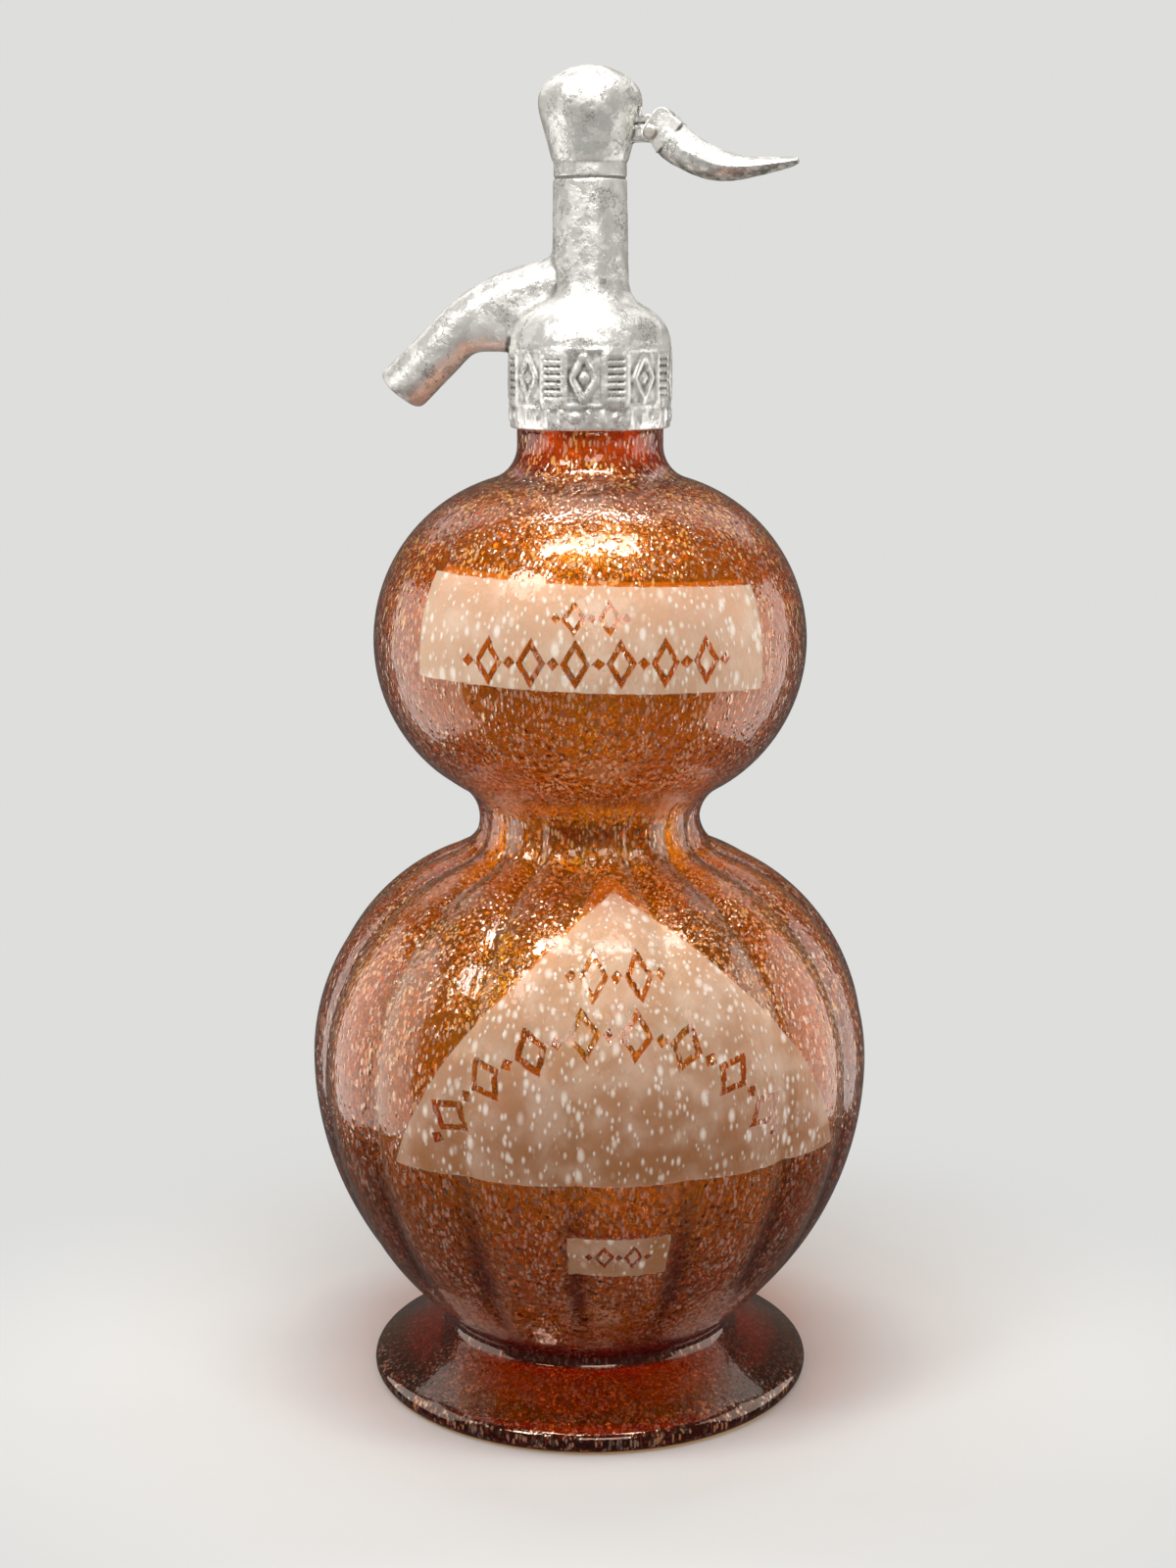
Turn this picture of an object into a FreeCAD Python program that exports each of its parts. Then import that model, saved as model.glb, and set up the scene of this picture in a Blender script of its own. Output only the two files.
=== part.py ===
import FreeCAD
import Part
import math
import os
from collections import namedtuple

# Soda siphon: a blown double-bulb bottle with a screwed-on tin head. Pressing the horn-shaped
# lever lifts a sprung stem off its seat, and the gas drives the water up the glass tube and out
# of the spout. Millimetres. +Z is up, the origin is the centre of the foot's underside, the
# lever points along +X and the spout along -X. Outlines of turned pieces are (r, z) points.

# ---------------------------------------------------------------- fits and clearances
RUNNING_FIT = 0.05          # radial clearance of a pin or stem that turns or slides in its hole
THREAD_CLEARANCE = 0.15     # radial clearance between mating thread ridges
SIDE_CLEARANCE = 0.15       # gap on each side of a tongue in its fork
NOSE_GAP = 0.30             # gap between the lever's nose and what it lifts, at rest
ASSEMBLY_GAP = 0.30         # gap between pieces that are passed over each other

# ---------------------------------------------------------------- bottle, outside
FOOT_RADIUS = 60.3
FOOT_EDGE_ROUND = 3.0       # radius of the foot's rolled rim
FOOT_FLARE_DEG = 27.0       # slope of the foot's upper face
FOOT_NECK_ROUND = 3.0       # crease between the foot and the lower bulb
FOOT_RING_INNER = 50.0      # inner radius of the ring that stands on the table
FOOT_PUNT_RISE = 8.0        # height of the hollow under the foot
LOWER_BULB_RADIUS = 75.6
LOWER_BULB_Z = 92.0         # height of the lower bulb's widest place
LOWER_UNDER_ARC = 92.6      # radius of the bulb's outline below that place
LOWER_OVER_ARC = 59.5       # radius of the outline above it
WAIST_RADIUS = 29.9
WAIST_ROUND = 10.1
UPPER_BULB_RADIUS = 57.6
UPPER_BULB_ARC = 44.6
NECK_RADIUS = 19.2
NECK_ROUND = 9.0            # sweep from the upper bulb into the neck
NECK_LENGTH = 6.16          # straight neck above that sweep

# ---------------------------------------------------------------- bottle, inside and lip
GLASS_WALL = 4.5
FLOOR_THICKNESS = 12.0      # glass at the middle of the foot
FLOOR_CORNER_ROUND = 22.0
NECK_BORE_RADIUS = 10.5
NECK_BORE_ROUND = 14.0
NECK_SHOULDER_ROUND = 1.5
GROOVE_RADIUS = 13.8        # groove that the split ring grips
LIP_RADIUS = 16.3
GROOVE_HEIGHT = 10.0
LIP_HEIGHT = 4.5
LIP_ROUND = 1.2

# ---------------------------------------------------------------- collar, dome and column
COLLAR_MOUTH_WALL = 1.5
COLLAR_OVERHANG = 1.6       # how far the collar reaches down over the neck
COLLAR_HEIGHT = 21.3        # straight side up to where the dome starts to turn in
COLLAR_MOUTH_HEIGHT = 2.6   # plain mouth below the thread
COLLAR_THREAD_WALL = 2.0    # metal outside the thread's roots
THREAD_DEPTH = 0.9
COLLAR_THREAD_PITCH = 2.1
COLLAR_EDGE_ROUND = 0.5
GASKET_THICKNESS = 2.0
DOME_ROUND = 10.5
COLUMN_BASE_RADIUS = 10.0
COLUMN_TOP_RADIUS = 9.5
COLUMN_ROOT_ROUND = 8.0
COLUMN_HEIGHT = 42.0        # from the collar's straight side to the cap's seam

# ---------------------------------------------------------------- dip tube and its gland
TUBE_RADIUS = 4.0
TUBE_BORE_RADIUS = 2.0
TUBE_FLOOR_GAP = 6.0        # room under the tube for the water to enter
TUBE_SOCKET_DEPTH = 11.0    # how far the tube enters the head
BUSH_RADIUS = 6.6
BUSH_HEIGHT = 5.0
TUBE_SPIGOT_DEPTH = 2.0     # tube above the bush
TUBE_NUT_FLANGE = 2.5
TUBE_NUT_FLATS = 13.6
FINE_THREAD_DEPTH = 0.5
FINE_THREAD_PITCH = 1.0
PASSAGE_RADIUS = 2.2
PASSAGE_LENGTH = 3.0        # between the tube's socket and the valve's chamber

# ---------------------------------------------------------------- valve
CHAMBER_RADIUS = 5.2
CHAMBER_HEIGHT = 15.0
SEAT_HEIGHT = 3.0
SEAT_NOSE_HEIGHT = 1.0
SEAT_NOSE_RADIUS = 3.2
WASHER_RADIUS = 3.7
WASHER_THICKNESS = 2.0
SCREW_HEAD_RADIUS = 1.6
SCREW_HEAD_HEIGHT = 1.0
SCREW_SHANK_RADIUS = 1.0
SCREW_SHANK_IN_STEM = 4.0
SCREW_SLOT_WIDTH = 0.5
SCREW_SLOT_DEPTH = 0.5
STEM_RADIUS = 1.8
STEM_FLANGE_RADIUS = 3.9
STEM_FLANGE_HEIGHT = 1.5
STEM_TOP_RADIUS = 1.4       # threaded end above the lift collar
STEM_TOP_LENGTH = 4.6

# ---------------------------------------------------------------- stem gland
GLAND_RADIUS = 5.8
GUIDE_HEIGHT = 3.0
PACKING_HEIGHT = 4.5
PACKING_NUT_HEIGHT = 6.0
NUT_SLOT_WIDTH = 1.4
NUT_SLOT_DEPTH = 1.6

# ---------------------------------------------------------------- cap
CAP_WASHER_THICKNESS = 0.6
CAP_WASHER_INSET = 0.35     # how far the seam's washer lies inside the column's edge
CAP_BAND_RADIUS = 9.45
CAP_BAND_HEIGHT = 3.7
CAP_BAND_STEP = 0.35        # small step at the top of the band
CAP_FLARE_DEG = 15.5
CAP_FLARE_ROUND = 14.0
CAP_RADIUS = 13.35
CAP_SHOULDER_ROUND = 7.0
CAP_CROWN_ROUND = 17.0
CAP_HEIGHT = 27.8
CAP_CEILING_THICKNESS = 2.8
CAP_WALL = 4.15             # at the widest place
CAP_CAVITY_TOP_RADIUS = 6.6
CAP_CAVITY_CONE = 4.2       # height over which the cavity narrows to its ceiling
NIPPLE_RADIUS = 7.7         # threaded nipple on the column
NIPPLE_HEIGHT = 5.4
NIPPLE_SOCKET_SPARE = 0.8   # room above the nipple in the cap

# ---------------------------------------------------------------- lever and its hinge
PIVOT_REACH = 2.95          # from the cap's widest place out to the hinge
PIVOT_RISE = 10.6           # from the cap's lower edge up to the hinge
PIN_RADIUS = 1.25
PIN_HEAD_RADIUS = 1.9
PIN_HEAD_HEIGHT = 0.6
PIN_HEAD_GAP = 0.10
LUG_HALF_WIDTH = 2.0
LUG_NOSE_RADIUS = 2.1
LUG_DEPTH_IN_WALL = 1.4     # how far the lug is rooted in the cap's wall
EYE_RADIUS = 2.4
FORK_HALF_WIDTH = 4.5
FORK_THROAT_GAP = 0.5
LOBE_RADIUS = 2.6
LOBE_REACH = 2.9            # from the hinge out to the lobe over the fork
LOBE_RISE = 3.6
NOSE_THICKNESS = 2.15
NOSE_HALF_WIDTH = 2.2
NOSE_STEM_GAP = 0.5         # gap between the nose's tip and the stem
NOSE_LUG_GAP = 0.45         # gap between the nose bar and the lug below it
LIFT_COLLAR_RADIUS = 6.2
LIFT_COLLAR_HEIGHT = 2.0
LOCKNUT_HEIGHT = 1.8
LOCKNUT_FLATS = 5.5
PRESS_ANGLE_DEG = 14.0      # travel of the lever
WINDOW_SIDE_GAP = 0.35
WINDOW_TOP_GAP = 0.35       # gap above the nose bar with the lever fully pressed

# Stations of the horn from its root to its tip: the upper and the lower edge of the section, out
# from the hinge and up from it, and half the section's width, all in shares of the horn's reach.
HORN_REACH = 37.6
HornStation = namedtuple("HornStation", "top_out top_up bottom_out bottom_up half_width")
HORN = (
    HornStation(0.170, 0.117, 0.016, -0.082, 0.122),
    HornStation(0.218, 0.059, 0.043, -0.138, 0.130),
    HornStation(0.282, 0.000, 0.112, -0.191, 0.138),
    HornStation(0.348, -0.045, 0.207, -0.242, 0.146),
    HornStation(0.455, -0.101, 0.375, -0.306, 0.149),
    HornStation(0.596, -0.146, 0.566, -0.314, 0.144),
    HornStation(0.761, -0.162, 0.763, -0.279, 0.125),
    HornStation(0.907, -0.162, 0.926, -0.237, 0.101),
    HornStation(0.992, -0.168, 1.000, -0.205, 0.074),
)

# ---------------------------------------------------------------- spring
SPRING_WIRE_RADIUS = 0.5
SPRING_COIL_RADIUS = 4.9
SPRING_TURNS = 3.5
SPRING_END_OVERRUN = 0.2    # how much of the wire is ground flat at each end

# ---------------------------------------------------------------- spout
SPOUT_RADIUS = 6.95
SPOUT_BORE_RADIUS = 3.25
SPOUT_AXIS_RISE = 7.0       # from the chamber's floor to where the spout's line starts
SPOUT_ROOT_SLOPE_DEG = 13.5
SPOUT_TIP_SLOPE_DEG = 45.0
SPOUT_REACH = 51.3          # from the column's axis to the middle of the mouth
SPOUT_DROP = 30.4           # from the start of the spout's line to the middle of the mouth
SPOUT_BEND_RADIUS = 45.0
SPOUT_TIP_ROUND = 0.9
SPOUT_WEB_DROP = 19.8       # from the start of its line to the underside of the web
SPOUT_WEB_START_X = 8.0
SPOUT_WEB_SKIN = 0.05       # how far the web's flat cheeks lie inside the round ones

RIDGE_SHARES = (0.125, 0.375, 0.625, 0.875)     # corners of a thread's ridge along its pitch
KERF = 0.3                  # half the gap between the two halves of the split ring
FAR = 60.0                  # reach of a cutting solid past the piece that it cuts

Round = namedtuple("Round", "r z")


# ================================================================ plane geometry
def rise(hypotenuse, run):
    """Other leg of a right triangle."""
    return math.sqrt(hypotenuse ** 2 - run ** 2)


def toward(centre, reach, target):
    """Point at a distance from one point towards another."""
    dr = target[0] - centre[0]
    dz = target[1] - centre[1]
    length = math.hypot(dr, dz)
    return centre[0] + dr * reach / length, centre[1] + dz * reach / length


def beside(start, end):
    """Unit normal on the left of the way from one point to another."""
    length = math.hypot(end[0] - start[0], end[1] - start[1])
    return (start[1] - end[1]) / length, (end[0] - start[0]) / length


def space(point):
    """Point of the r-z plane as a point of the x-z plane."""
    return FreeCAD.Vector(point[0], 0, point[1])


def arc(start, centre, end):
    """Shorter arc between two points about a centre."""
    radius = math.hypot(start[0] - centre[0], start[1] - centre[1])
    chord_middle = ((start[0] + end[0]) / 2, (start[1] + end[1]) / 2)
    middle = toward(centre, radius, chord_middle)
    return Part.Arc(space(start), space(middle), space(end)).toShape()


def outline(*steps):
    """Closed wire through points; a Round between two points is the centre of an arc."""
    edges = []
    steps = list(steps) + [steps[0]]
    here = steps[0]
    centre = None
    for step in steps[1:]:
        if isinstance(step, Round):
            centre = step
            continue
        if centre is None:
            edges.append(Part.makeLine(space(here), space(step)))
        else:
            edges.append(arc(here, centre, step))
        here = step
        centre = None
    return Part.Wire(edges)


# ================================================================ solids
def turned(*steps):
    """Solid of revolution about the Z axis."""
    profile = Part.Face(outline(*steps))
    return profile.revolve(FreeCAD.Vector(0, 0, 0), FreeCAD.Vector(0, 0, 1), 360)


def disc(radius, bottom, top):
    """Upright cylinder on the Z axis."""
    return Part.makeCylinder(radius, top - bottom, FreeCAD.Vector(0, 0, bottom))


def ring(outer, inner, bottom, top):
    """Upright ring on the Z axis."""
    return disc(outer, bottom, top).cut(disc(inner, bottom, top))


def cross_cylinder(radius, x, z, half_width):
    """Cylinder along Y through a place in the x-z plane."""
    start = FreeCAD.Vector(x, -half_width, z)
    return Part.makeCylinder(radius, 2 * half_width, start, FreeCAD.Vector(0, 1, 0))


def block(x0, x1, half_width, z0, z1):
    """Box that is centred on the x-z plane."""
    corner = FreeCAD.Vector(x0, -half_width, z0)
    return Part.makeBox(x1 - x0, 2 * half_width, z1 - z0, corner)


def slab(points, half_width):
    """Plate of a polygon in the x-z plane, centred on that plane."""
    corners = [FreeCAD.Vector(x, -half_width, z) for x, z in points]
    face = Part.Face(Part.makePolygon(corners + corners[:1]))
    return face.extrude(FreeCAD.Vector(0, 2 * half_width, 0))


def hexagon(flats, bottom, top):
    """Hexagonal prism on the Z axis."""
    reach = flats / math.sqrt(3)
    corners = []
    for step in range(7):
        turn = math.radians(60 * step)
        corners.append(FreeCAD.Vector(reach * math.cos(turn), reach * math.sin(turn), bottom))
    return Part.Face(Part.makePolygon(corners)).extrude(FreeCAD.Vector(0, 0, top - bottom))


def threaded(crest, root, bottom, top, pitch):
    """Upright cylinder whose wall has ridges from root to crest, as a thread has."""
    count = max(1, int((top - bottom) / pitch))
    step = (top - bottom) / count
    ridge = list(zip(RIDGE_SHARES, (root, crest, crest, root)))
    points = [(0, bottom), (root, bottom)]
    for index in range(count):
        points += [(radius, bottom + (index + share) * step) for share, radius in ridge]
    points += [(root, top), (0, top)]
    return turned(*points)


# ================================================================ centres of the bottle's outline
LOWER_UNDER = Round(LOWER_BULB_RADIUS - LOWER_UNDER_ARC, LOWER_BULB_Z)
LOWER_OVER = Round(LOWER_BULB_RADIUS - LOWER_OVER_ARC, LOWER_BULB_Z)
WAIST_CENTRE_R = WAIST_RADIUS + WAIST_ROUND
WAIST = Round(
    WAIST_CENTRE_R,
    LOWER_BULB_Z + rise(LOWER_OVER_ARC + WAIST_ROUND, WAIST_CENTRE_R - LOWER_OVER.r),
)
UPPER_CENTRE_R = UPPER_BULB_RADIUS - UPPER_BULB_ARC
UPPER = Round(
    UPPER_CENTRE_R,
    WAIST.z + rise(UPPER_BULB_ARC + WAIST_ROUND, WAIST_CENTRE_R - UPPER_CENTRE_R),
)
NECK = Round(
    NECK_RADIUS + NECK_ROUND,
    UPPER.z + rise(UPPER_BULB_ARC + NECK_ROUND, NECK_RADIUS + NECK_ROUND - UPPER_CENTRE_R),
)


# ================================================================ heights that follow
FLOOR_Z = FOOT_PUNT_RISE + FLOOR_THICKNESS
NECK_TOP_Z = NECK.z + NECK_LENGTH
LIP_UNDERSIDE_Z = NECK_TOP_Z + GROOVE_HEIGHT
LIP_TOP_Z = LIP_UNDERSIDE_Z + LIP_HEIGHT
CEILING_Z = LIP_TOP_Z + GASKET_THICKNESS
COLLAR_RADIUS = NECK_RADIUS + ASSEMBLY_GAP + COLLAR_MOUTH_WALL
COLLAR_BOTTOM_Z = NECK_TOP_Z - COLLAR_OVERHANG
DOME_ROUND_Z = COLLAR_BOTTOM_Z + COLLAR_HEIGHT
COLUMN_TOP_Z = DOME_ROUND_Z + COLUMN_HEIGHT
TUBE_BOTTOM_Z = FLOOR_Z + TUBE_FLOOR_GAP
TUBE_TOP_Z = CEILING_Z + TUBE_SOCKET_DEPTH
BUSH_TOP_Z = TUBE_TOP_Z - TUBE_SPIGOT_DEPTH
BUSH_BOTTOM_Z = BUSH_TOP_Z - BUSH_HEIGHT
SEAT_BASE_Z = TUBE_TOP_Z + PASSAGE_LENGTH
SEAT_TOP_Z = SEAT_BASE_Z + SEAT_HEIGHT
WASHER_BOTTOM_Z = SEAT_TOP_Z + SEAT_NOSE_HEIGHT
STEM_BOTTOM_Z = WASHER_BOTTOM_Z + WASHER_THICKNESS
GLAND_LEDGE_Z = SEAT_BASE_Z + CHAMBER_HEIGHT
PACKING_BOTTOM_Z = GLAND_LEDGE_Z + GUIDE_HEIGHT
PACKING_TOP_Z = PACKING_BOTTOM_Z + PACKING_HEIGHT
PACKING_NUT_TOP_Z = PACKING_TOP_Z + PACKING_NUT_HEIGHT
NIPPLE_TOP_Z = COLUMN_TOP_Z + NIPPLE_HEIGHT
CAP_BOTTOM_Z = COLUMN_TOP_Z + CAP_WASHER_THICKNESS
CAP_TOP_Z = CAP_BOTTOM_Z + CAP_HEIGHT
CAP_CAVITY_RADIUS = CAP_RADIUS - CAP_WALL
CAP_CEILING_Z = CAP_TOP_Z - CAP_CEILING_THICKNESS
CAP_FLOOR_Z = NIPPLE_TOP_Z + NIPPLE_SOCKET_SPARE
PIVOT_X = CAP_RADIUS + PIVOT_REACH
PIVOT_Z = CAP_BOTTOM_Z + PIVOT_RISE
LOBE_X = PIVOT_X + LOBE_REACH
LOBE_Z = PIVOT_Z + LOBE_RISE
NOSE_TIP_X = STEM_RADIUS + NOSE_STEM_GAP
NOSE_BOTTOM_Z = PIVOT_Z + LUG_NOSE_RADIUS + NOSE_LUG_GAP
NOSE_TOP_Z = NOSE_BOTTOM_Z + NOSE_THICKNESS
LIFT_COLLAR_Z = NOSE_TOP_Z + NOSE_GAP
SPRING_BOTTOM_Z = LIFT_COLLAR_Z + LIFT_COLLAR_HEIGHT

COLLAR_THREAD_ROOT = COLLAR_RADIUS - COLLAR_THREAD_WALL
COLLAR_THREAD_CREST = COLLAR_THREAD_ROOT - THREAD_DEPTH
COLLAR_THREAD_Z = COLLAR_BOTTOM_Z + COLLAR_MOUTH_HEIGHT
SPOUT_AXIS_Z = SEAT_BASE_Z + SPOUT_AXIS_RISE
SPOUT_TIP_Z = SPOUT_AXIS_Z - SPOUT_DROP
SPOUT_WEB_BOTTOM_Z = SPOUT_AXIS_Z - SPOUT_WEB_DROP


# ================================================================ bottle
def foot_crease():
    """Centre of the crease that touches the foot's flare and the lower bulb's underside."""
    flare = math.radians(FOOT_FLARE_DEG)
    edge = (FOOT_RADIUS - FOOT_EDGE_ROUND, FOOT_EDGE_ROUND)
    offset = FOOT_EDGE_ROUND + FOOT_NECK_ROUND
    start_r = edge[0] + offset * math.sin(flare) - LOWER_UNDER.r
    start_z = edge[1] + offset * math.cos(flare) - LOWER_UNDER.z
    along = start_r * math.cos(flare) - start_z * math.sin(flare)
    beyond = start_r ** 2 + start_z ** 2 - (LOWER_UNDER_ARC + FOOT_NECK_ROUND) ** 2
    travel = along - math.sqrt(along ** 2 - beyond)
    return Round(
        LOWER_UNDER.r + start_r - travel * math.cos(flare),
        LOWER_UNDER.z + start_z + travel * math.sin(flare),
    )


def bottle_outside():
    """Outline of the glass from the middle of the punt to the top of the lip."""
    flare = math.radians(FOOT_FLARE_DEG)
    edge = Round(FOOT_RADIUS - FOOT_EDGE_ROUND, FOOT_EDGE_ROUND)
    crease = foot_crease()
    normal = (math.sin(flare), math.cos(flare))
    punt_radius = (FOOT_RING_INNER ** 2 + FOOT_PUNT_RISE ** 2) / (2 * FOOT_PUNT_RISE)
    shoulder = Round(NECK_RADIUS - NECK_SHOULDER_ROUND, NECK_TOP_Z - NECK_SHOULDER_ROUND)
    lip_edge = LIP_RADIUS - LIP_ROUND
    return [
        (0, FOOT_PUNT_RISE),
        Round(0, FOOT_PUNT_RISE - punt_radius),
        (FOOT_RING_INNER, 0),
        (edge.r, 0),
        edge,
        (FOOT_RADIUS, edge.z),
        edge,
        (edge.r + FOOT_EDGE_ROUND * normal[0], edge.z + FOOT_EDGE_ROUND * normal[1]),
        (crease.r - FOOT_NECK_ROUND * normal[0], crease.z - FOOT_NECK_ROUND * normal[1]),
        crease,
        (crease.r - FOOT_NECK_ROUND, crease.z),
        crease,
        toward(LOWER_UNDER, LOWER_UNDER_ARC, crease),
        LOWER_UNDER,
        (LOWER_BULB_RADIUS, LOWER_BULB_Z),
        LOWER_OVER,
        toward(LOWER_OVER, LOWER_OVER_ARC, WAIST),
        WAIST,
        (WAIST_RADIUS, WAIST.z),
        WAIST,
        toward(UPPER, UPPER_BULB_ARC, WAIST),
        UPPER,
        (UPPER_BULB_RADIUS, UPPER.z),
        UPPER,
        toward(UPPER, UPPER_BULB_ARC, NECK),
        NECK,
        (NECK_RADIUS, NECK.z),
        (NECK_RADIUS, shoulder.z),
        shoulder,
        (shoulder.r, NECK_TOP_Z),
        (GROOVE_RADIUS, NECK_TOP_Z),
        (GROOVE_RADIUS, LIP_UNDERSIDE_Z),
        (LIP_RADIUS, LIP_UNDERSIDE_Z),
        (LIP_RADIUS, LIP_TOP_Z - LIP_ROUND),
        Round(lip_edge, LIP_TOP_Z - LIP_ROUND),
        (lip_edge, LIP_TOP_Z),
    ]


def bottle_inside():
    """Outline of the hollow from the lip down to the middle of the floor."""
    under = LOWER_UNDER_ARC - GLASS_WALL
    over = LOWER_OVER_ARC - GLASS_WALL
    upper = UPPER_BULB_ARC - GLASS_WALL
    corner_reach = under - FLOOR_CORNER_ROUND
    corner_z = FLOOR_Z + FLOOR_CORNER_ROUND
    corner = Round(LOWER_UNDER.r + rise(corner_reach, LOWER_BULB_Z - corner_z), corner_z)
    bore_r = NECK_BORE_RADIUS + NECK_BORE_ROUND
    bore = Round(bore_r, UPPER.z + rise(upper + NECK_BORE_ROUND, bore_r - UPPER.r))
    return [
        (NECK_BORE_RADIUS, LIP_TOP_Z),
        (NECK_BORE_RADIUS, bore.z),
        bore,
        toward(UPPER, upper, bore),
        UPPER,
        (UPPER_BULB_RADIUS - GLASS_WALL, UPPER.z),
        UPPER,
        toward(UPPER, upper, WAIST),
        WAIST,
        (WAIST_RADIUS - GLASS_WALL, WAIST.z),
        WAIST,
        toward(LOWER_OVER, over, WAIST),
        LOWER_OVER,
        (LOWER_BULB_RADIUS - GLASS_WALL, LOWER_BULB_Z),
        LOWER_UNDER,
        toward(LOWER_UNDER, under, corner),
        corner,
        (corner.r, FLOOR_Z),
        (0, FLOOR_Z),
    ]


def glass_bottle():
    return turned(*bottle_outside(), *bottle_inside())


# ================================================================ neck joint
def neck_ring():
    """Threaded ring that grips the lip, before it is split."""
    crest = COLLAR_THREAD_ROOT - THREAD_CLEARANCE
    root = COLLAR_THREAD_CREST - THREAD_CLEARANCE
    body = threaded(crest, root, COLLAR_THREAD_Z, LIP_UNDERSIDE_Z, COLLAR_THREAD_PITCH)
    return body.cut(disc(GROOVE_RADIUS + THREAD_CLEARANCE, COLLAR_THREAD_Z, LIP_UNDERSIDE_Z))


def half_space(side):
    """Big block on one side of the x-z plane, clear of it by the ring's half gap."""
    start = KERF if side > 0 else -KERF - FAR
    corner = FreeCAD.Vector(-FAR, start, COLLAR_BOTTOM_Z)
    return Part.makeBox(2 * FAR, FAR, FAR, corner)


def lip_gasket():
    return ring(LIP_RADIUS, NECK_BORE_RADIUS, LIP_TOP_Z, CEILING_Z)


# ================================================================ head casting
def spout_path():
    """Line of the spout from the column's axis to its mouth."""
    root = math.radians(SPOUT_ROOT_SLOPE_DEG)
    tip = math.radians(SPOUT_TIP_SLOPE_DEG)
    start = (0, SPOUT_AXIS_Z)
    end = (-SPOUT_REACH, SPOUT_TIP_Z)
    drop = SPOUT_AXIS_Z - SPOUT_TIP_Z - SPOUT_REACH * math.tan(tip)
    corner_x = drop / (math.tan(tip) - math.tan(root))
    corner = (corner_x, SPOUT_AXIS_Z + corner_x * math.tan(root))
    tangent = SPOUT_BEND_RADIUS * math.tan((tip - root) / 2)
    bend_start = toward(corner, tangent, start)
    bend_end = toward(corner, tangent, end)
    centre = (
        bend_start[0] + SPOUT_BEND_RADIUS * math.sin(root),
        bend_start[1] - SPOUT_BEND_RADIUS * math.cos(root),
    )
    return start, bend_start, centre, bend_end, end


def spout_tube(radius, reach_past):
    """Round rod along the spout's line, carried past its mouth by a length."""
    start, bend_start, centre, bend_end, end = spout_path()
    end = toward(bend_end, math.dist(bend_end, end) + reach_past, end)
    line = Part.Wire([
        Part.makeLine(space(start), space(bend_start)),
        arc(bend_start, centre, bend_end),
        Part.makeLine(space(bend_end), space(end)),
    ])
    heading = space(bend_start) - space(start)
    section = Part.Wire([Part.makeCircle(radius, space(start), heading)])
    return line.makePipeShell([section], True, False)


def spout_outside():
    """Spout with its worn mouth edge and the web that joins its underside to the dome."""
    start, bend_start, centre, bend_end, end = spout_path()
    tube = spout_tube(SPOUT_RADIUS, 0)
    mouth = [
        edge for edge in tube.Edges
        if (edge.CenterOfMass - space(end)).Length < SPOUT_TIP_ROUND
    ]
    tube = tube.makeFillet(SPOUT_TIP_ROUND, mouth)
    web_z = SPOUT_WEB_BOTTOM_Z + SPOUT_RADIUS
    web_end = bend_end[0] + (web_z - bend_end[1]) / math.tan(math.radians(SPOUT_TIP_SLOPE_DEG))
    low_start = FreeCAD.Vector(-SPOUT_WEB_START_X, 0, web_z)
    low_length = -SPOUT_WEB_START_X - web_end
    low_rod = Part.makeCylinder(SPOUT_RADIUS, low_length, low_start, FreeCAD.Vector(-1, 0, 0))
    high_z = SPOUT_AXIS_Z - SPOUT_WEB_START_X * math.tan(math.radians(SPOUT_ROOT_SLOPE_DEG))
    bend_middle = toward(centre, SPOUT_BEND_RADIUS, (
        (bend_start[0] + bend_end[0]) / 2,
        (bend_start[1] + bend_end[1]) / 2,
    ))
    cheeks = slab([
        (-SPOUT_WEB_START_X, web_z),
        (web_end, web_z),
        bend_middle,
        bend_start,
        (-SPOUT_WEB_START_X, high_z),
    ], SPOUT_RADIUS - SPOUT_WEB_SKIN)
    return tube.fuse([low_rod, cheeks])


def head_turned():
    """Turned outside of the collar, the dome, the column and its threaded nipple."""
    edge = Round(COLLAR_RADIUS - COLLAR_EDGE_ROUND, COLLAR_BOTTOM_Z + COLLAR_EDGE_ROUND)
    dome = Round(COLLAR_RADIUS - DOME_ROUND, DOME_ROUND_Z)
    root_r = COLUMN_BASE_RADIUS + COLUMN_ROOT_ROUND
    root = Round(root_r, dome.z + rise(DOME_ROUND + COLUMN_ROOT_ROUND, root_r - dome.r))
    body = turned(
        (0, COLLAR_BOTTOM_Z),
        (edge.r, COLLAR_BOTTOM_Z),
        edge,
        (COLLAR_RADIUS, edge.z),
        (COLLAR_RADIUS, dome.z),
        dome,
        toward(dome, DOME_ROUND, root),
        root,
        (COLUMN_BASE_RADIUS, root.z),
        (COLUMN_TOP_RADIUS, COLUMN_TOP_Z),
        (0, COLUMN_TOP_Z),
    )
    crest = NIPPLE_RADIUS
    nipple_root = NIPPLE_RADIUS - FINE_THREAD_DEPTH
    nipple = threaded(crest, nipple_root, COLUMN_TOP_Z, NIPPLE_TOP_Z, FINE_THREAD_PITCH)
    return body.fuse(nipple)


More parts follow.
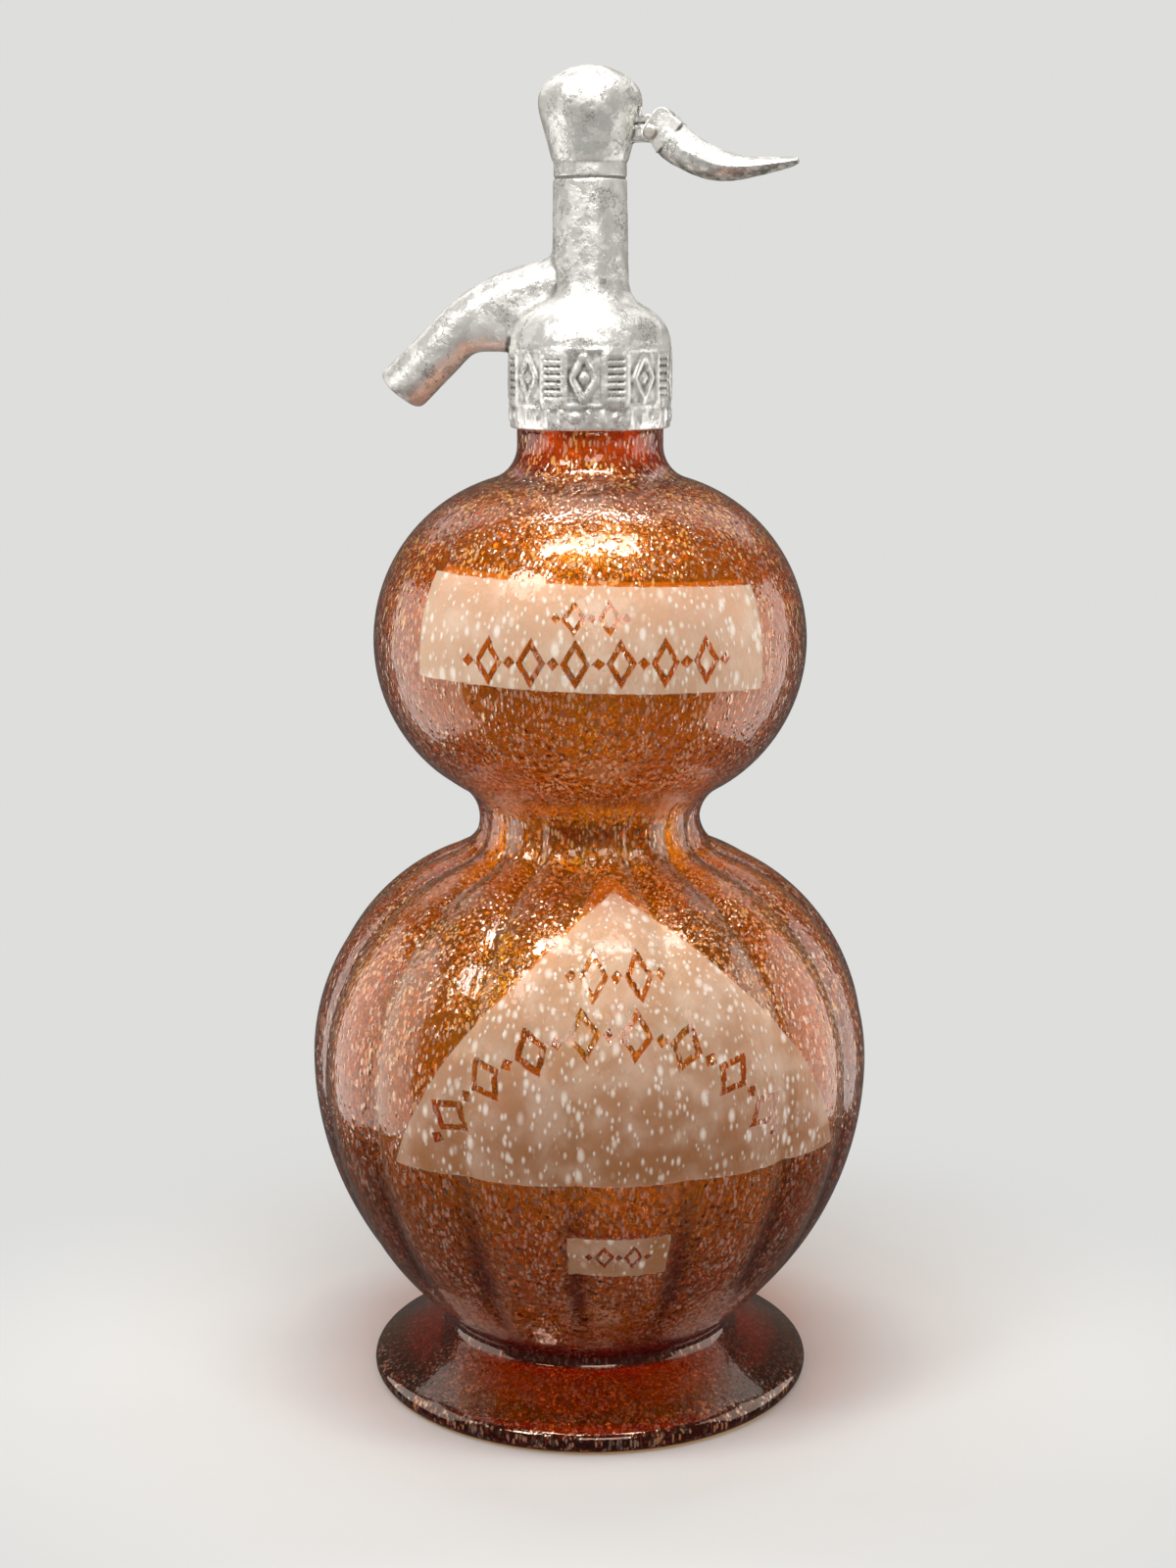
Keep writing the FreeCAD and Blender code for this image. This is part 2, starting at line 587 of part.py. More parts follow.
def head_body():
    """Collar, dome, column and spout in one casting, bored for the tube, valve and gland."""
    collar_thread = threaded(
        COLLAR_THREAD_ROOT, COLLAR_THREAD_CREST, COLLAR_THREAD_Z, LIP_UNDERSIDE_Z,
        COLLAR_THREAD_PITCH,
    )
    hollows = [
        disc(NECK_RADIUS + ASSEMBLY_GAP, COLLAR_BOTTOM_Z, COLLAR_THREAD_Z),
        collar_thread,
        disc(COLLAR_THREAD_CREST, LIP_UNDERSIDE_Z, CEILING_Z),
        threaded(BUSH_RADIUS, BUSH_RADIUS - FINE_THREAD_DEPTH, CEILING_Z, BUSH_BOTTOM_Z,
                 FINE_THREAD_PITCH),
        disc(BUSH_RADIUS, BUSH_BOTTOM_Z, BUSH_TOP_Z),
        disc(TUBE_RADIUS + THREAD_CLEARANCE, BUSH_TOP_Z, TUBE_TOP_Z),
        disc(PASSAGE_RADIUS, TUBE_TOP_Z, SEAT_BASE_Z),
        disc(CHAMBER_RADIUS, SEAT_BASE_Z, GLAND_LEDGE_Z),
        disc(GLAND_RADIUS, GLAND_LEDGE_Z, PACKING_TOP_Z),
        threaded(GLAND_RADIUS, GLAND_RADIUS - FINE_THREAD_DEPTH, PACKING_TOP_Z,
                 PACKING_NUT_TOP_Z, FINE_THREAD_PITCH),
        disc(GLAND_RADIUS, PACKING_NUT_TOP_Z, NIPPLE_TOP_Z),
        spout_tube(SPOUT_BORE_RADIUS, SPOUT_RADIUS),
    ]
    body = head_turned().fuse(spout_outside())
    for hollow in hollows:
        body = body.cut(hollow)
    return body.removeSplitter()


# ================================================================ tube gland
def dip_tube():
    return ring(TUBE_RADIUS, TUBE_BORE_RADIUS, TUBE_BOTTOM_Z, TUBE_TOP_Z)


def tube_bush():
    return ring(BUSH_RADIUS, TUBE_RADIUS, BUSH_BOTTOM_Z, BUSH_TOP_Z)


def tube_nut():
    """Gland nut with a hexagon that hangs into the bottle's mouth."""
    crest = BUSH_RADIUS - THREAD_CLEARANCE
    shank = threaded(crest, crest - FINE_THREAD_DEPTH, CEILING_Z, BUSH_BOTTOM_Z,
                     FINE_THREAD_PITCH)
    head = hexagon(TUBE_NUT_FLATS, CEILING_Z - TUBE_NUT_FLANGE, CEILING_Z)
    bore = disc(TUBE_RADIUS + THREAD_CLEARANCE, CEILING_Z - TUBE_NUT_FLANGE, BUSH_BOTTOM_Z)
    return shank.fuse(head).cut(bore)


# ================================================================ valve
def valve_seat():
    """Insert with a narrow raised nose round its hole."""
    base = disc(CHAMBER_RADIUS, SEAT_BASE_Z, SEAT_TOP_Z)
    nose = disc(SEAT_NOSE_RADIUS, SEAT_TOP_Z, WASHER_BOTTOM_Z)
    return base.fuse(nose).cut(disc(PASSAGE_RADIUS, SEAT_BASE_Z, WASHER_BOTTOM_Z))


def plunger_stem():
    """Stem with the valve flange at its foot and a thinner threaded end at its top."""
    flange = disc(STEM_FLANGE_RADIUS, STEM_BOTTOM_Z, STEM_BOTTOM_Z + STEM_FLANGE_HEIGHT)
    shaft = disc(STEM_RADIUS, STEM_BOTTOM_Z, LIFT_COLLAR_Z)
    top = threaded(STEM_TOP_RADIUS, STEM_TOP_RADIUS - THREAD_CLEARANCE, LIFT_COLLAR_Z,
                   LIFT_COLLAR_Z + STEM_TOP_LENGTH, FINE_THREAD_PITCH)
    hole = disc(SCREW_SHANK_RADIUS, STEM_BOTTOM_Z, STEM_BOTTOM_Z + SCREW_SHANK_IN_STEM)
    return flange.fuse([shaft, top]).cut(hole)


def valve_washer():
    return ring(WASHER_RADIUS, SCREW_SHANK_RADIUS, WASHER_BOTTOM_Z, STEM_BOTTOM_Z)


def washer_screw():
    """Slotted screw whose head hangs in the seat's hole when the valve is shut."""
    head_bottom = WASHER_BOTTOM_Z - SCREW_HEAD_HEIGHT
    head = disc(SCREW_HEAD_RADIUS, head_bottom, WASHER_BOTTOM_Z)
    shank = disc(SCREW_SHANK_RADIUS, WASHER_BOTTOM_Z, STEM_BOTTOM_Z + SCREW_SHANK_IN_STEM)
    slot = block(-SCREW_HEAD_RADIUS, SCREW_HEAD_RADIUS, SCREW_SLOT_WIDTH / 2,
                 head_bottom, head_bottom + SCREW_SLOT_DEPTH)
    return head.fuse(shank).cut(slot)


# ================================================================ stem gland
def stem_guide():
    return ring(GLAND_RADIUS, STEM_RADIUS + RUNNING_FIT, GLAND_LEDGE_Z, PACKING_BOTTOM_Z)


def stem_packing():
    return ring(GLAND_RADIUS, STEM_RADIUS + RUNNING_FIT, PACKING_BOTTOM_Z, PACKING_TOP_Z)


def packing_nut():
    """Threaded plug with a slot across its top for a turning tool."""
    crest = GLAND_RADIUS - THREAD_CLEARANCE
    plug = threaded(crest, crest - FINE_THREAD_DEPTH, PACKING_TOP_Z, PACKING_NUT_TOP_Z,
                    FINE_THREAD_PITCH)
    bore = disc(STEM_RADIUS + ASSEMBLY_GAP, PACKING_TOP_Z, PACKING_NUT_TOP_Z)
    slot = block(-GLAND_RADIUS, GLAND_RADIUS, NUT_SLOT_WIDTH / 2,
                 PACKING_NUT_TOP_Z - NUT_SLOT_DEPTH, PACKING_NUT_TOP_Z)
    return plug.cut(bore).cut(slot)


# ================================================================ collar and spring
def lift_collar():
    """Disc on the stem's shoulder that the lever's nose lifts."""
    return ring(LIFT_COLLAR_RADIUS, STEM_TOP_RADIUS, LIFT_COLLAR_Z, SPRING_BOTTOM_Z)


def collar_locknut():
    nut = hexagon(LOCKNUT_FLATS, SPRING_BOTTOM_Z, SPRING_BOTTOM_Z + LOCKNUT_HEIGHT)
    return nut.cut(disc(STEM_TOP_RADIUS, SPRING_BOTTOM_Z, SPRING_BOTTOM_Z + LOCKNUT_HEIGHT))


def return_spring():
    """Coil between the lift collar and the cap's ceiling, ground flat at both ends."""
    low = SPRING_BOTTOM_Z + SPRING_WIRE_RADIUS - SPRING_END_OVERRUN
    high = CAP_CEILING_Z - SPRING_WIRE_RADIUS + SPRING_END_OVERRUN
    pitch = (high - low) / SPRING_TURNS
    helix = Part.makeHelix(pitch, high - low, SPRING_COIL_RADIUS)
    helix.translate(FreeCAD.Vector(0, 0, low))
    start = FreeCAD.Vector(SPRING_COIL_RADIUS, 0, low)
    heading = FreeCAD.Vector(0, 2 * math.pi * SPRING_COIL_RADIUS, pitch)
    section = Part.Wire([Part.makeCircle(SPRING_WIRE_RADIUS, start, heading)])
    coil = Part.Wire(helix.Edges).makePipeShell([section], True, True)
    room = disc(SPRING_COIL_RADIUS * 2, SPRING_BOTTOM_Z, CAP_CEILING_Z)
    return coil.common(room)


# ================================================================ cap
def cap_washer():
    inset = COLUMN_TOP_RADIUS - CAP_WASHER_INSET
    return ring(inset, NIPPLE_RADIUS + THREAD_CLEARANCE, COLUMN_TOP_Z, CAP_BOTTOM_Z)


def cap_outside():
    """Turned outside of the cap: a plain band, a flare and a round bulb."""
    flare = math.radians(CAP_FLARE_DEG)
    crown = Round(0, CAP_TOP_Z - CAP_CROWN_ROUND)
    shoulder_r = CAP_RADIUS - CAP_SHOULDER_ROUND
    shoulder = Round(shoulder_r, crown.z + rise(CAP_CROWN_ROUND - CAP_SHOULDER_ROUND, shoulder_r))
    belly = Round(CAP_RADIUS - CAP_FLARE_ROUND, shoulder.z)
    band_top = CAP_BOTTOM_Z + CAP_BAND_HEIGHT
    flare_end = (
        belly.r + CAP_FLARE_ROUND * math.cos(flare),
        belly.z - CAP_FLARE_ROUND * math.sin(flare),
    )
    flare_start_r = flare_end[0] - (flare_end[1] - band_top - CAP_BAND_STEP) * math.tan(flare)
    return turned(
        (0, CAP_BOTTOM_Z),
        (CAP_BAND_RADIUS, CAP_BOTTOM_Z),
        (CAP_BAND_RADIUS, band_top),
        (flare_start_r, band_top + CAP_BAND_STEP),
        flare_end,
        belly,
        (CAP_RADIUS, shoulder.z),
        shoulder,
        toward(crown, CAP_CROWN_ROUND, shoulder),
        crown,
        (0, CAP_TOP_Z),
    )


def cap_cavity():
    """Threaded socket and the round room above it for the collar and the spring."""
    crest = NIPPLE_RADIUS + THREAD_CLEARANCE
    socket = threaded(crest, crest - FINE_THREAD_DEPTH, COLUMN_TOP_Z, NIPPLE_TOP_Z,
                      FINE_THREAD_PITCH)
    room = turned(
        (0, NIPPLE_TOP_Z),
        (crest, NIPPLE_TOP_Z),
        (crest, CAP_FLOOR_Z),
        (CAP_CAVITY_RADIUS, CAP_FLOOR_Z + CAP_CAVITY_RADIUS - NIPPLE_RADIUS),
        (CAP_CAVITY_RADIUS, CAP_CEILING_Z - CAP_CAVITY_CONE),
        (CAP_CAVITY_TOP_RADIUS, CAP_CEILING_Z),
        (0, CAP_CEILING_Z),
    )
    return room.fuse(socket)


def cap():
    """Bulb with the lug that carries the lever and the window that its nose enters."""
    lug = block(CAP_CAVITY_RADIUS, PIVOT_X, LUG_HALF_WIDTH, PIVOT_Z - LUG_NOSE_RADIUS,
                PIVOT_Z + LUG_NOSE_RADIUS)
    lug = lug.fuse(cross_cylinder(LUG_NOSE_RADIUS, PIVOT_X, PIVOT_Z, LUG_HALF_WIDTH))
    press = math.radians(PRESS_ANGLE_DEG)
    nose_height = NOSE_TOP_Z - PIVOT_Z
    back = (PIVOT_X - CAP_CAVITY_RADIUS + nose_height * math.sin(press)) / math.cos(press)
    highest = PIVOT_Z + back * math.sin(press) + nose_height * math.cos(press)
    window = block(0, PIVOT_X, NOSE_HALF_WIDTH + WINDOW_SIDE_GAP,
                   PIVOT_Z + LUG_NOSE_RADIUS, highest + WINDOW_TOP_GAP)
    hole = cross_cylinder(PIN_RADIUS, PIVOT_X, PIVOT_Z, FORK_HALF_WIDTH)
    body = cap_outside().fuse(lug)
    for hollow in (cap_cavity(), window, hole):
        body = body.cut(hollow)
    return body.removeSplitter()


# ================================================================ lever
def from_pivot(out, up):
    """Place in the x-z plane, given from the hinge in shares of the horn's reach."""
    return PIVOT_X + out * HORN_REACH, PIVOT_Z + up * HORN_REACH


def horn_section(station):
    """Pointed-oval section of the horn, across the line from its top to its bottom edge."""
    top = space(from_pivot(station.top_out, station.top_up))
    bottom = space(from_pivot(station.bottom_out, station.bottom_up))
    side = FreeCAD.Vector(0, station.half_width * HORN_REACH, 0)
    middle = (top + bottom) * 0.5
    upper = Part.Arc(middle - side, top, middle + side).toShape()
    lower = Part.Arc(middle + side, bottom, middle - side).toShape()
    return Part.Wire([upper, lower])


def lever():
    """Horn, fork and nose in one casting."""
    horn = Part.makeLoft([horn_section(station) for station in HORN], True, False)
    eye = cross_cylinder(EYE_RADIUS, PIVOT_X, PIVOT_Z, FORK_HALF_WIDTH)
    lobe = cross_cylinder(LOBE_RADIUS, LOBE_X, LOBE_Z, FORK_HALF_WIDTH)
    root = HORN[1]
    over_x, over_z = beside((PIVOT_X, PIVOT_Z), (LOBE_X, LOBE_Z))
    cheeks = slab([
        (PIVOT_X, PIVOT_Z - EYE_RADIUS),
        (PIVOT_X + EYE_RADIUS * over_x, PIVOT_Z + EYE_RADIUS * over_z),
        (LOBE_X + LOBE_RADIUS * over_x, LOBE_Z + LOBE_RADIUS * over_z),
        (LOBE_X, LOBE_Z + LOBE_RADIUS),
        from_pivot(root.top_out, root.top_up),
        from_pivot(root.bottom_out, root.bottom_up),
    ], FORK_HALF_WIDTH)
    nose_round = NOSE_THICKNESS / 2
    nose_z = NOSE_BOTTOM_Z + nose_round
    tip_x = NOSE_TIP_X + nose_round
    nose = block(tip_x, LOBE_X, NOSE_HALF_WIDTH, NOSE_BOTTOM_Z, NOSE_TOP_Z)
    nose = nose.fuse(cross_cylinder(nose_round, tip_x, nose_z, NOSE_HALF_WIDTH))
    throat_half = LUG_HALF_WIDTH + SIDE_CLEARANCE
    throat = cross_cylinder(LUG_NOSE_RADIUS + FORK_THROAT_GAP, PIVOT_X, PIVOT_Z, throat_half)
    throat_floor = PIVOT_Z - FAR
    way_in = block(PIVOT_X - EYE_RADIUS - LUG_NOSE_RADIUS, PIVOT_X, throat_half, throat_floor,
                   NOSE_BOTTOM_Z)
    hole = cross_cylinder(PIN_RADIUS + RUNNING_FIT, PIVOT_X, PIVOT_Z, FORK_HALF_WIDTH)
    body = horn.fuse([eye, lobe, cheeks])
    for hollow in (throat, way_in, hole):
        body = body.cut(hollow)
    return body.fuse(nose)


def lever_pin():
    """Pin that is pressed into the lug, with a peened head past each cheek of the fork."""
    reach = FORK_HALF_WIDTH + PIN_HEAD_GAP
    pin = cross_cylinder(PIN_RADIUS, PIVOT_X, PIVOT_Z, reach)
    for side in (-1, 1):
        start = FreeCAD.Vector(PIVOT_X, side * reach, PIVOT_Z)
        outward = FreeCAD.Vector(0, side, 0)
        head = Part.makeCone(PIN_HEAD_RADIUS, PIN_RADIUS, PIN_HEAD_HEIGHT, start, outward)
        pin = pin.fuse(head)
    return pin


# ================================================================ all pieces
def pieces():
    """Every piece by its node's name."""
    whole_ring = neck_ring()
    return {
        "glass_bottle": glass_bottle(),
        "neck_ring_front": whole_ring.common(half_space(-1)),
        "neck_ring_rear": whole_ring.common(half_space(1)),
        "lip_gasket": lip_gasket(),
        "head_body": head_body(),
        "dip_tube": dip_tube(),
        "tube_bush": tube_bush(),
        "tube_nut": tube_nut(),
        "valve_seat": valve_seat(),
        "plunger_stem": plunger_stem(),
        "valve_washer": valve_washer(),
        "washer_screw": washer_screw(),
        "stem_guide": stem_guide(),
        "stem_packing": stem_packing(),
        "packing_nut": packing_nut(),
        "lift_collar": lift_collar(),
        "collar_locknut": collar_locknut(),
        "return_spring": return_spring(),
        "cap_washer": cap_washer(),
        "cap": cap(),
        "lever": lever(),
        "lever_pin": lever_pin(),
    }


os.makedirs("parts", exist_ok=True)
for name, shape in pieces().items():
    shape.exportStep(f"parts/{name}.step")
    solids = len(shape.Solids)
    print(f"{name}: {solids} solid, {shape.Volume / 1000:.3f} cm3, valid {shape.isValid()}")
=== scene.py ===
"""Dresses the soda siphon: seeded amber glass with etched panels, and a worn cast head."""
import logging
import math
from contextlib import contextmanager
from dataclasses import dataclass
from enum import Enum
from typing import Callable, Iterable, Iterator, Optional, Sequence, Union

import bpy
import numpy as np
from bpy.types import ID, Material, Node, NodeSocket, NodeTree, Object, Texture, bpy_prop_collection
from mathutils import Matrix, Vector


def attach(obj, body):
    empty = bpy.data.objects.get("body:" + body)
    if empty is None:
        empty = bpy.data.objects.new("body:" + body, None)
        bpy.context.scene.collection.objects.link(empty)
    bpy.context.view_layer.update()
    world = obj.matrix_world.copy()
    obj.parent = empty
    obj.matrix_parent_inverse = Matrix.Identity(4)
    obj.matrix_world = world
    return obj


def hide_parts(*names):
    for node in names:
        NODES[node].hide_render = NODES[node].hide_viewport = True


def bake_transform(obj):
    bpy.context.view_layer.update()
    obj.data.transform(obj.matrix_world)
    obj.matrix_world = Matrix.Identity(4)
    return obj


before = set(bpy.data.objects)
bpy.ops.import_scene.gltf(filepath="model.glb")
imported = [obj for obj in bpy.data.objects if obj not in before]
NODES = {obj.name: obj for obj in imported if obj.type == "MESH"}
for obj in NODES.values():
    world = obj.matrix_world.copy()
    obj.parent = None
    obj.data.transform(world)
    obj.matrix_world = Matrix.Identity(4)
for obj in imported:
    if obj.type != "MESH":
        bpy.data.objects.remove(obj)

log = logging.getLogger("siphon")
MM = 0.001
Point = tuple[float, float]
Span = tuple[float, float]
Number = Union["Field", float]
Tone = Union["Field", str]
Weight = Callable[[Vector, Vector], float]      # from a point's place and normal


# ================================================================ names for choices
class Body(str, Enum):
    """The bodies of the frame that a piece can ride on."""

    SIPHON = "siphon"
    PLUNGER = "plunger"
    LEVER = "lever"


class Slot(str, Enum):
    """The record's material slots."""

    AMBER = "amber_glass"
    TIN = "cast_tin"
    SPRING = "spring_steel"


# ================================================================ colours and nodes
def colour(code: str) -> tuple[float, float, float, float]:
    """Linear colour of an sRGB hex code.

    Args:
        code: six hex digits after a #.

    Returns:
        Red, green, blue and full alpha.
    """
    parts = [int(code[start:start + 2], 16) / 255 for start in (1, 3, 5)]
    linear = [part / 12.92 if part <= 0.04045 else ((part + 0.055) / 1.055) ** 2.4 for part in parts]
    return (*linear, 1.0)


def add(tree: NodeTree, kind: str, inputs: Optional[dict] = None, **settings) -> Node:
    """Adds a node with its settings and links.

    Args:
        tree: the tree that gets the node.
        kind: the node's type.
        inputs: a value, or the field or socket to link from, for each input by name or number.
        **settings: the node's own properties.

    Returns:
        The new node.
    """
    node = tree.nodes.new(kind)
    for name, value in settings.items():
        setattr(node, name, value)
    for name, value in (inputs or {}).items():
        source = value.socket if isinstance(value, Field) else value
        if isinstance(source, NodeSocket):
            tree.links.new(source, node.inputs[name])
        else:
            node.inputs[name].default_value = source
    return node


class Field:
    """A number or a colour that varies over a surface, with plain arithmetic on it."""

    def __init__(self, socket: NodeSocket) -> None:
        """Keeps the socket that gives the value."""
        self.socket = socket
        self.tree = socket.id_data

    def of(self, operation: str, *others: Number) -> "Field":
        """Result of one operation on this value and others."""
        operands = dict(enumerate((self, *others)))
        return Field(add(self.tree, "ShaderNodeMath", operands, operation=operation).outputs[0])

    def __add__(self, other: Number) -> "Field":
        """This value plus another."""
        return self.of("ADD", other)

    def __sub__(self, other: Number) -> "Field":
        """This value less another."""
        return self.of("SUBTRACT", other)

    def __rsub__(self, other: float) -> "Field":
        """A number less this value."""
        return Field(add(self.tree, "ShaderNodeMath", {0: other, 1: self}, operation="SUBTRACT").outputs[0])

    def __mul__(self, other: Number) -> "Field":
        """This value times another."""
        return self.of("MULTIPLY", other)

    def __truediv__(self, other: Number) -> "Field":
        """This value over another."""
        return self.of("DIVIDE", other)

    def __abs__(self) -> "Field":
        """This value without its sign."""
        return self.of("ABSOLUTE")

    def at_least(self, other: Number) -> "Field":
        """The larger of this value and another."""
        return self.of("MAXIMUM", other)

    def at_most(self, other: Number) -> "Field":
        """The smaller of this value and another."""
        return self.of("MINIMUM", other)

    def step(self, low: float, high: float, start: float = 0.0, end: float = 1.0) -> "Field":
        """Smooth step of this value between two limits.

        Args:
            low: value where the step starts.
            high: value where the step ends.
            start: result at low.
            end: result at high.

        Returns:
            The stepped value.
        """
        node = add(self.tree, "ShaderNodeMapRange", {
            "Value": self, "From Min": low, "From Max": high, "To Min": start, "To Max": end,
        }, interpolation_type="SMOOTHSTEP")
        return Field(node.outputs["Result"])

    def between(self, low: Tone, high: Tone) -> "Field":
        """Colour that runs from one tone to another as this value goes from 0 to 1."""
        first, second = (tone if isinstance(tone, Field) else colour(tone) for tone in (low, high))
        node = add(self.tree, "ShaderNodeMix", {"Factor": self, 6: first, 7: second}, data_type="RGBA")
        return Field(node.outputs[2])


class Skin:
    """A material in the making, and the patterns that are drawn on it in object coordinates."""

    def __init__(self, name: str) -> None:
        """Starts a material with an empty tree."""
        self.material = bpy.data.materials.new(name)
        self.material.use_nodes = True
        self.tree = self.material.node_tree
        self.tree.nodes.clear()
        self.place = add(self.tree, "ShaderNodeTexCoord").outputs["Object"]

    def along(self, axis: str) -> Field:
        """Place along X, Y or Z in millimetres."""
        return Field(add(self.tree, "ShaderNodeSeparateXYZ", {"Vector": self.place}).outputs[axis]) / MM

    def turn(self) -> Field:
        """Angle round the bottle's axis in degrees, from the front towards +X."""
        return self.along("X").of("ARCTAN2", self.along("Y") * -1.0) * math.degrees(1.0)

    def stretched(self, shares: Sequence[float]) -> NodeSocket:
        """Object coordinates scaled along each axis."""
        return add(self.tree, "ShaderNodeMapping", {
            "Vector": self.place, "Scale": tuple(shares),
        }).outputs["Vector"]

    def grain(self, size_mm: float, detail: float = 2.0, roughness: float = 0.5,
              shares: Sequence[float] = (1.0, 1.0, 1.0)) -> Field:
        """Noise whose lumps are about a size in millimetres across.

        Args:
            size_mm: width of a lump.
            detail: octaves.
            roughness: weight of the finer octaves.
            shares: stretch along each axis; less than 1 makes lumps longer.

        Returns:
            The noise, from 0 to 1.
        """
        node = add(self.tree, "ShaderNodeTexNoise", {
            "Vector": self.stretched(shares), "Scale": 1 / (size_mm * MM),
            "Detail": detail, "Roughness": roughness,
        })
        return Field(node.outputs["Fac"])

    def seeds(self, spacing_mm: float, radius: float, share: float, squash: float = 0.5) -> Field:
        """Upright oval bubbles just under the skin, scattered at random.

        Args:
            spacing_mm: mean distance between them.
            radius: their radius as a share of the spacing.
            share: how many of the places hold one.
            squash: width over height of a bubble.

        Returns:
            1 in the middle of a bubble, falling to 0 at its edge.
        """
        cells = add(self.tree, "ShaderNodeTexVoronoi", {
            "Vector": self.stretched((1.0, 1.0, squash)), "Scale": 1 / (spacing_mm * MM), "Randomness": 1.0,
        })
        lot = add(self.tree, "ShaderNodeSeparateColor", {"Color": cells.outputs["Color"]})
        present = Field(lot.outputs[0]).of("LESS_THAN", share)
        reach = Field(lot.outputs[1]) * (0.5 * radius) + 0.6 * radius
        dome = (1.0 - Field(cells.outputs["Distance"]) / reach).at_least(0.0)
        return dome * present

    def normal(self, height: Field, depth_mm: float = 1.0) -> NodeSocket:
        """Surface normals where a height of 1 stands for a depth in millimetres."""
        return add(self.tree, "ShaderNodeBump", {
            "Height": height, "Distance": depth_mm * MM,
        }).outputs["Normal"]

    def lit_through(self, shader: Node, share: Number, tint: str) -> Node:
        """Lets lamps shine through a glass, because light that it bends casts no soft shadow.

        Args:
            shader: the glass.
            share: how much of a lamp's light passes straight through.
            tint: colour of that light.

        Returns:
            The glass that passes light.
        """
        passing = add(self.tree, "ShaderNodeBsdfTransparent", {"Color": colour(tint)})
        lamp = Field(add(self.tree, "ShaderNodeLightPath").outputs["Is Shadow Ray"]) * share
        return add(self.tree, "ShaderNodeMixShader", {0: lamp, 1: shader.outputs[0], 2: passing.outputs[0]})

    def finished(self, surface: Node, volume: Optional[Node] = None
                 ) -> Material:
        """Links the last shaders to the output and gives the material."""
        ends = {"Surface": surface.outputs[0]}
        if volume:
            ends["Volume"] = volume.outputs[0]
        add(self.tree, "ShaderNodeOutputMaterial", ends)
        return self.material


# ================================================================ finishes
@dataclass(frozen=True)
class EtchedPanel:
    """One sandblasted panel, given by its middle, its half width and its heights.

    The half width may change with height: each of the widths belongs to a height that lies at an
    even step from the bottom to the top.
    """

    middle_deg: float
    bottom_mm: float
    top_mm: float
    half_widths_deg: tuple[float, ...]
    tilt_mm: float = 0.0        # how much higher the panel's left end lies than its right end
    soft_mm: float = 0.25       # half of the edge's softness
    soft_deg: float = 0.3

    def mask(self, turn: Field, height: Field) -> Field:
        """1 inside the panel and 0 outside it.

        Args:
            turn: angle round the bottle in degrees.
            height: height in millimetres.

        Returns:
            The mask.
        """
        off = turn - self.middle_deg
        level = off * (self.tilt_mm / (2 * self.half_widths_deg[0])) + height
        share = add(turn.tree, "ShaderNodeMapRange", {
            "Value": level, "From Min": self.bottom_mm, "From Max": self.top_mm,
        }).outputs["Result"]
        widest = max(self.half_widths_deg)
        curve = add(turn.tree, "ShaderNodeFloatCurve", {"Value": share})
        points = curve.mapping.curves[0].points
        steps = len(self.half_widths_deg) - 1
        places = [(index / steps, width / widest) for index, width in enumerate(self.half_widths_deg)]
        points[0].location = places[0]
        points[-1].location = places[-1]
        for place in places[1:-1]:
            points.new(*place)
        curve.mapping.update()
        inside = Field(curve.outputs["Value"]) * widest - abs(off)
        return (
            inside.step(-self.soft_deg, self.soft_deg)
            * level.step(self.bottom_mm - self.soft_mm, self.bottom_mm + self.soft_mm)
            * level.step(self.top_mm - self.soft_mm, self.top_mm + self.soft_mm, 1.0, 0.0)
        )


@dataclass(frozen=True)
class MarkRow:
    """A row of lozenges with studs between them that the sandblasting left clear.

    Sizes are in millimetres on the unrolled surface. A row with a radius is bent into an arch.
    """

    middle_deg: float
    level_mm: float
    tall_mm: float
    pitch_mm: float
    marks: int
    mm_per_deg: float
    stroke_mm: float
    arch_mm: float = 0.0        # radius of the arch, 0 for a straight row
    soft_mm: float = 0.2

    def along_and_up(self, turn: Field, height: Field) -> tuple[Field, Field]:
        """Distance along the row from its middle, and distance above its middle line."""
        side = (turn - self.middle_deg) * self.mm_per_deg
        if not self.arch_mm:
            return side, height - self.level_mm
        rise = height - (self.level_mm - self.arch_mm)
        reach = (side * side + rise * rise).of("SQRT")
        return side.of("ARCTAN2", rise) * self.arch_mm, reach - self.arch_mm

    def inside(self, distance: Field, limit_mm: float) -> Field:
        """1 where a distance is less than a limit."""
        return distance.step(limit_mm - self.soft_mm, limit_mm + self.soft_mm, 1.0, 0.0)

    def mask(self, turn: Field, height: Field) -> Field:
        """1 on the marks and 0 beside them.

        Args:
            turn: angle round the bottle in degrees.
            height: height in millimetres.

        Returns:
            The mask.
        """
        along, up = self.along_and_up(turn, height)
        level = abs(up)
        from_stud = along.of("PINGPONG", self.pitch_mm)
        half_wide = self.pitch_mm * 0.52
        half_tall = self.tall_mm / 2
        slant = half_wide * half_tall / math.hypot(half_wide, half_tall)
        outline = (self.pitch_mm - from_stud) / half_wide + level / half_tall
        lozenge = self.inside(abs(outline - 1.0) * slant, self.stroke_mm / 2)
        stud = self.inside(from_stud + level, 1.1 * self.stroke_mm)
        return lozenge.at_least(stud) * self.inside(abs(along), self.pitch_mm * (self.marks + 0.3))


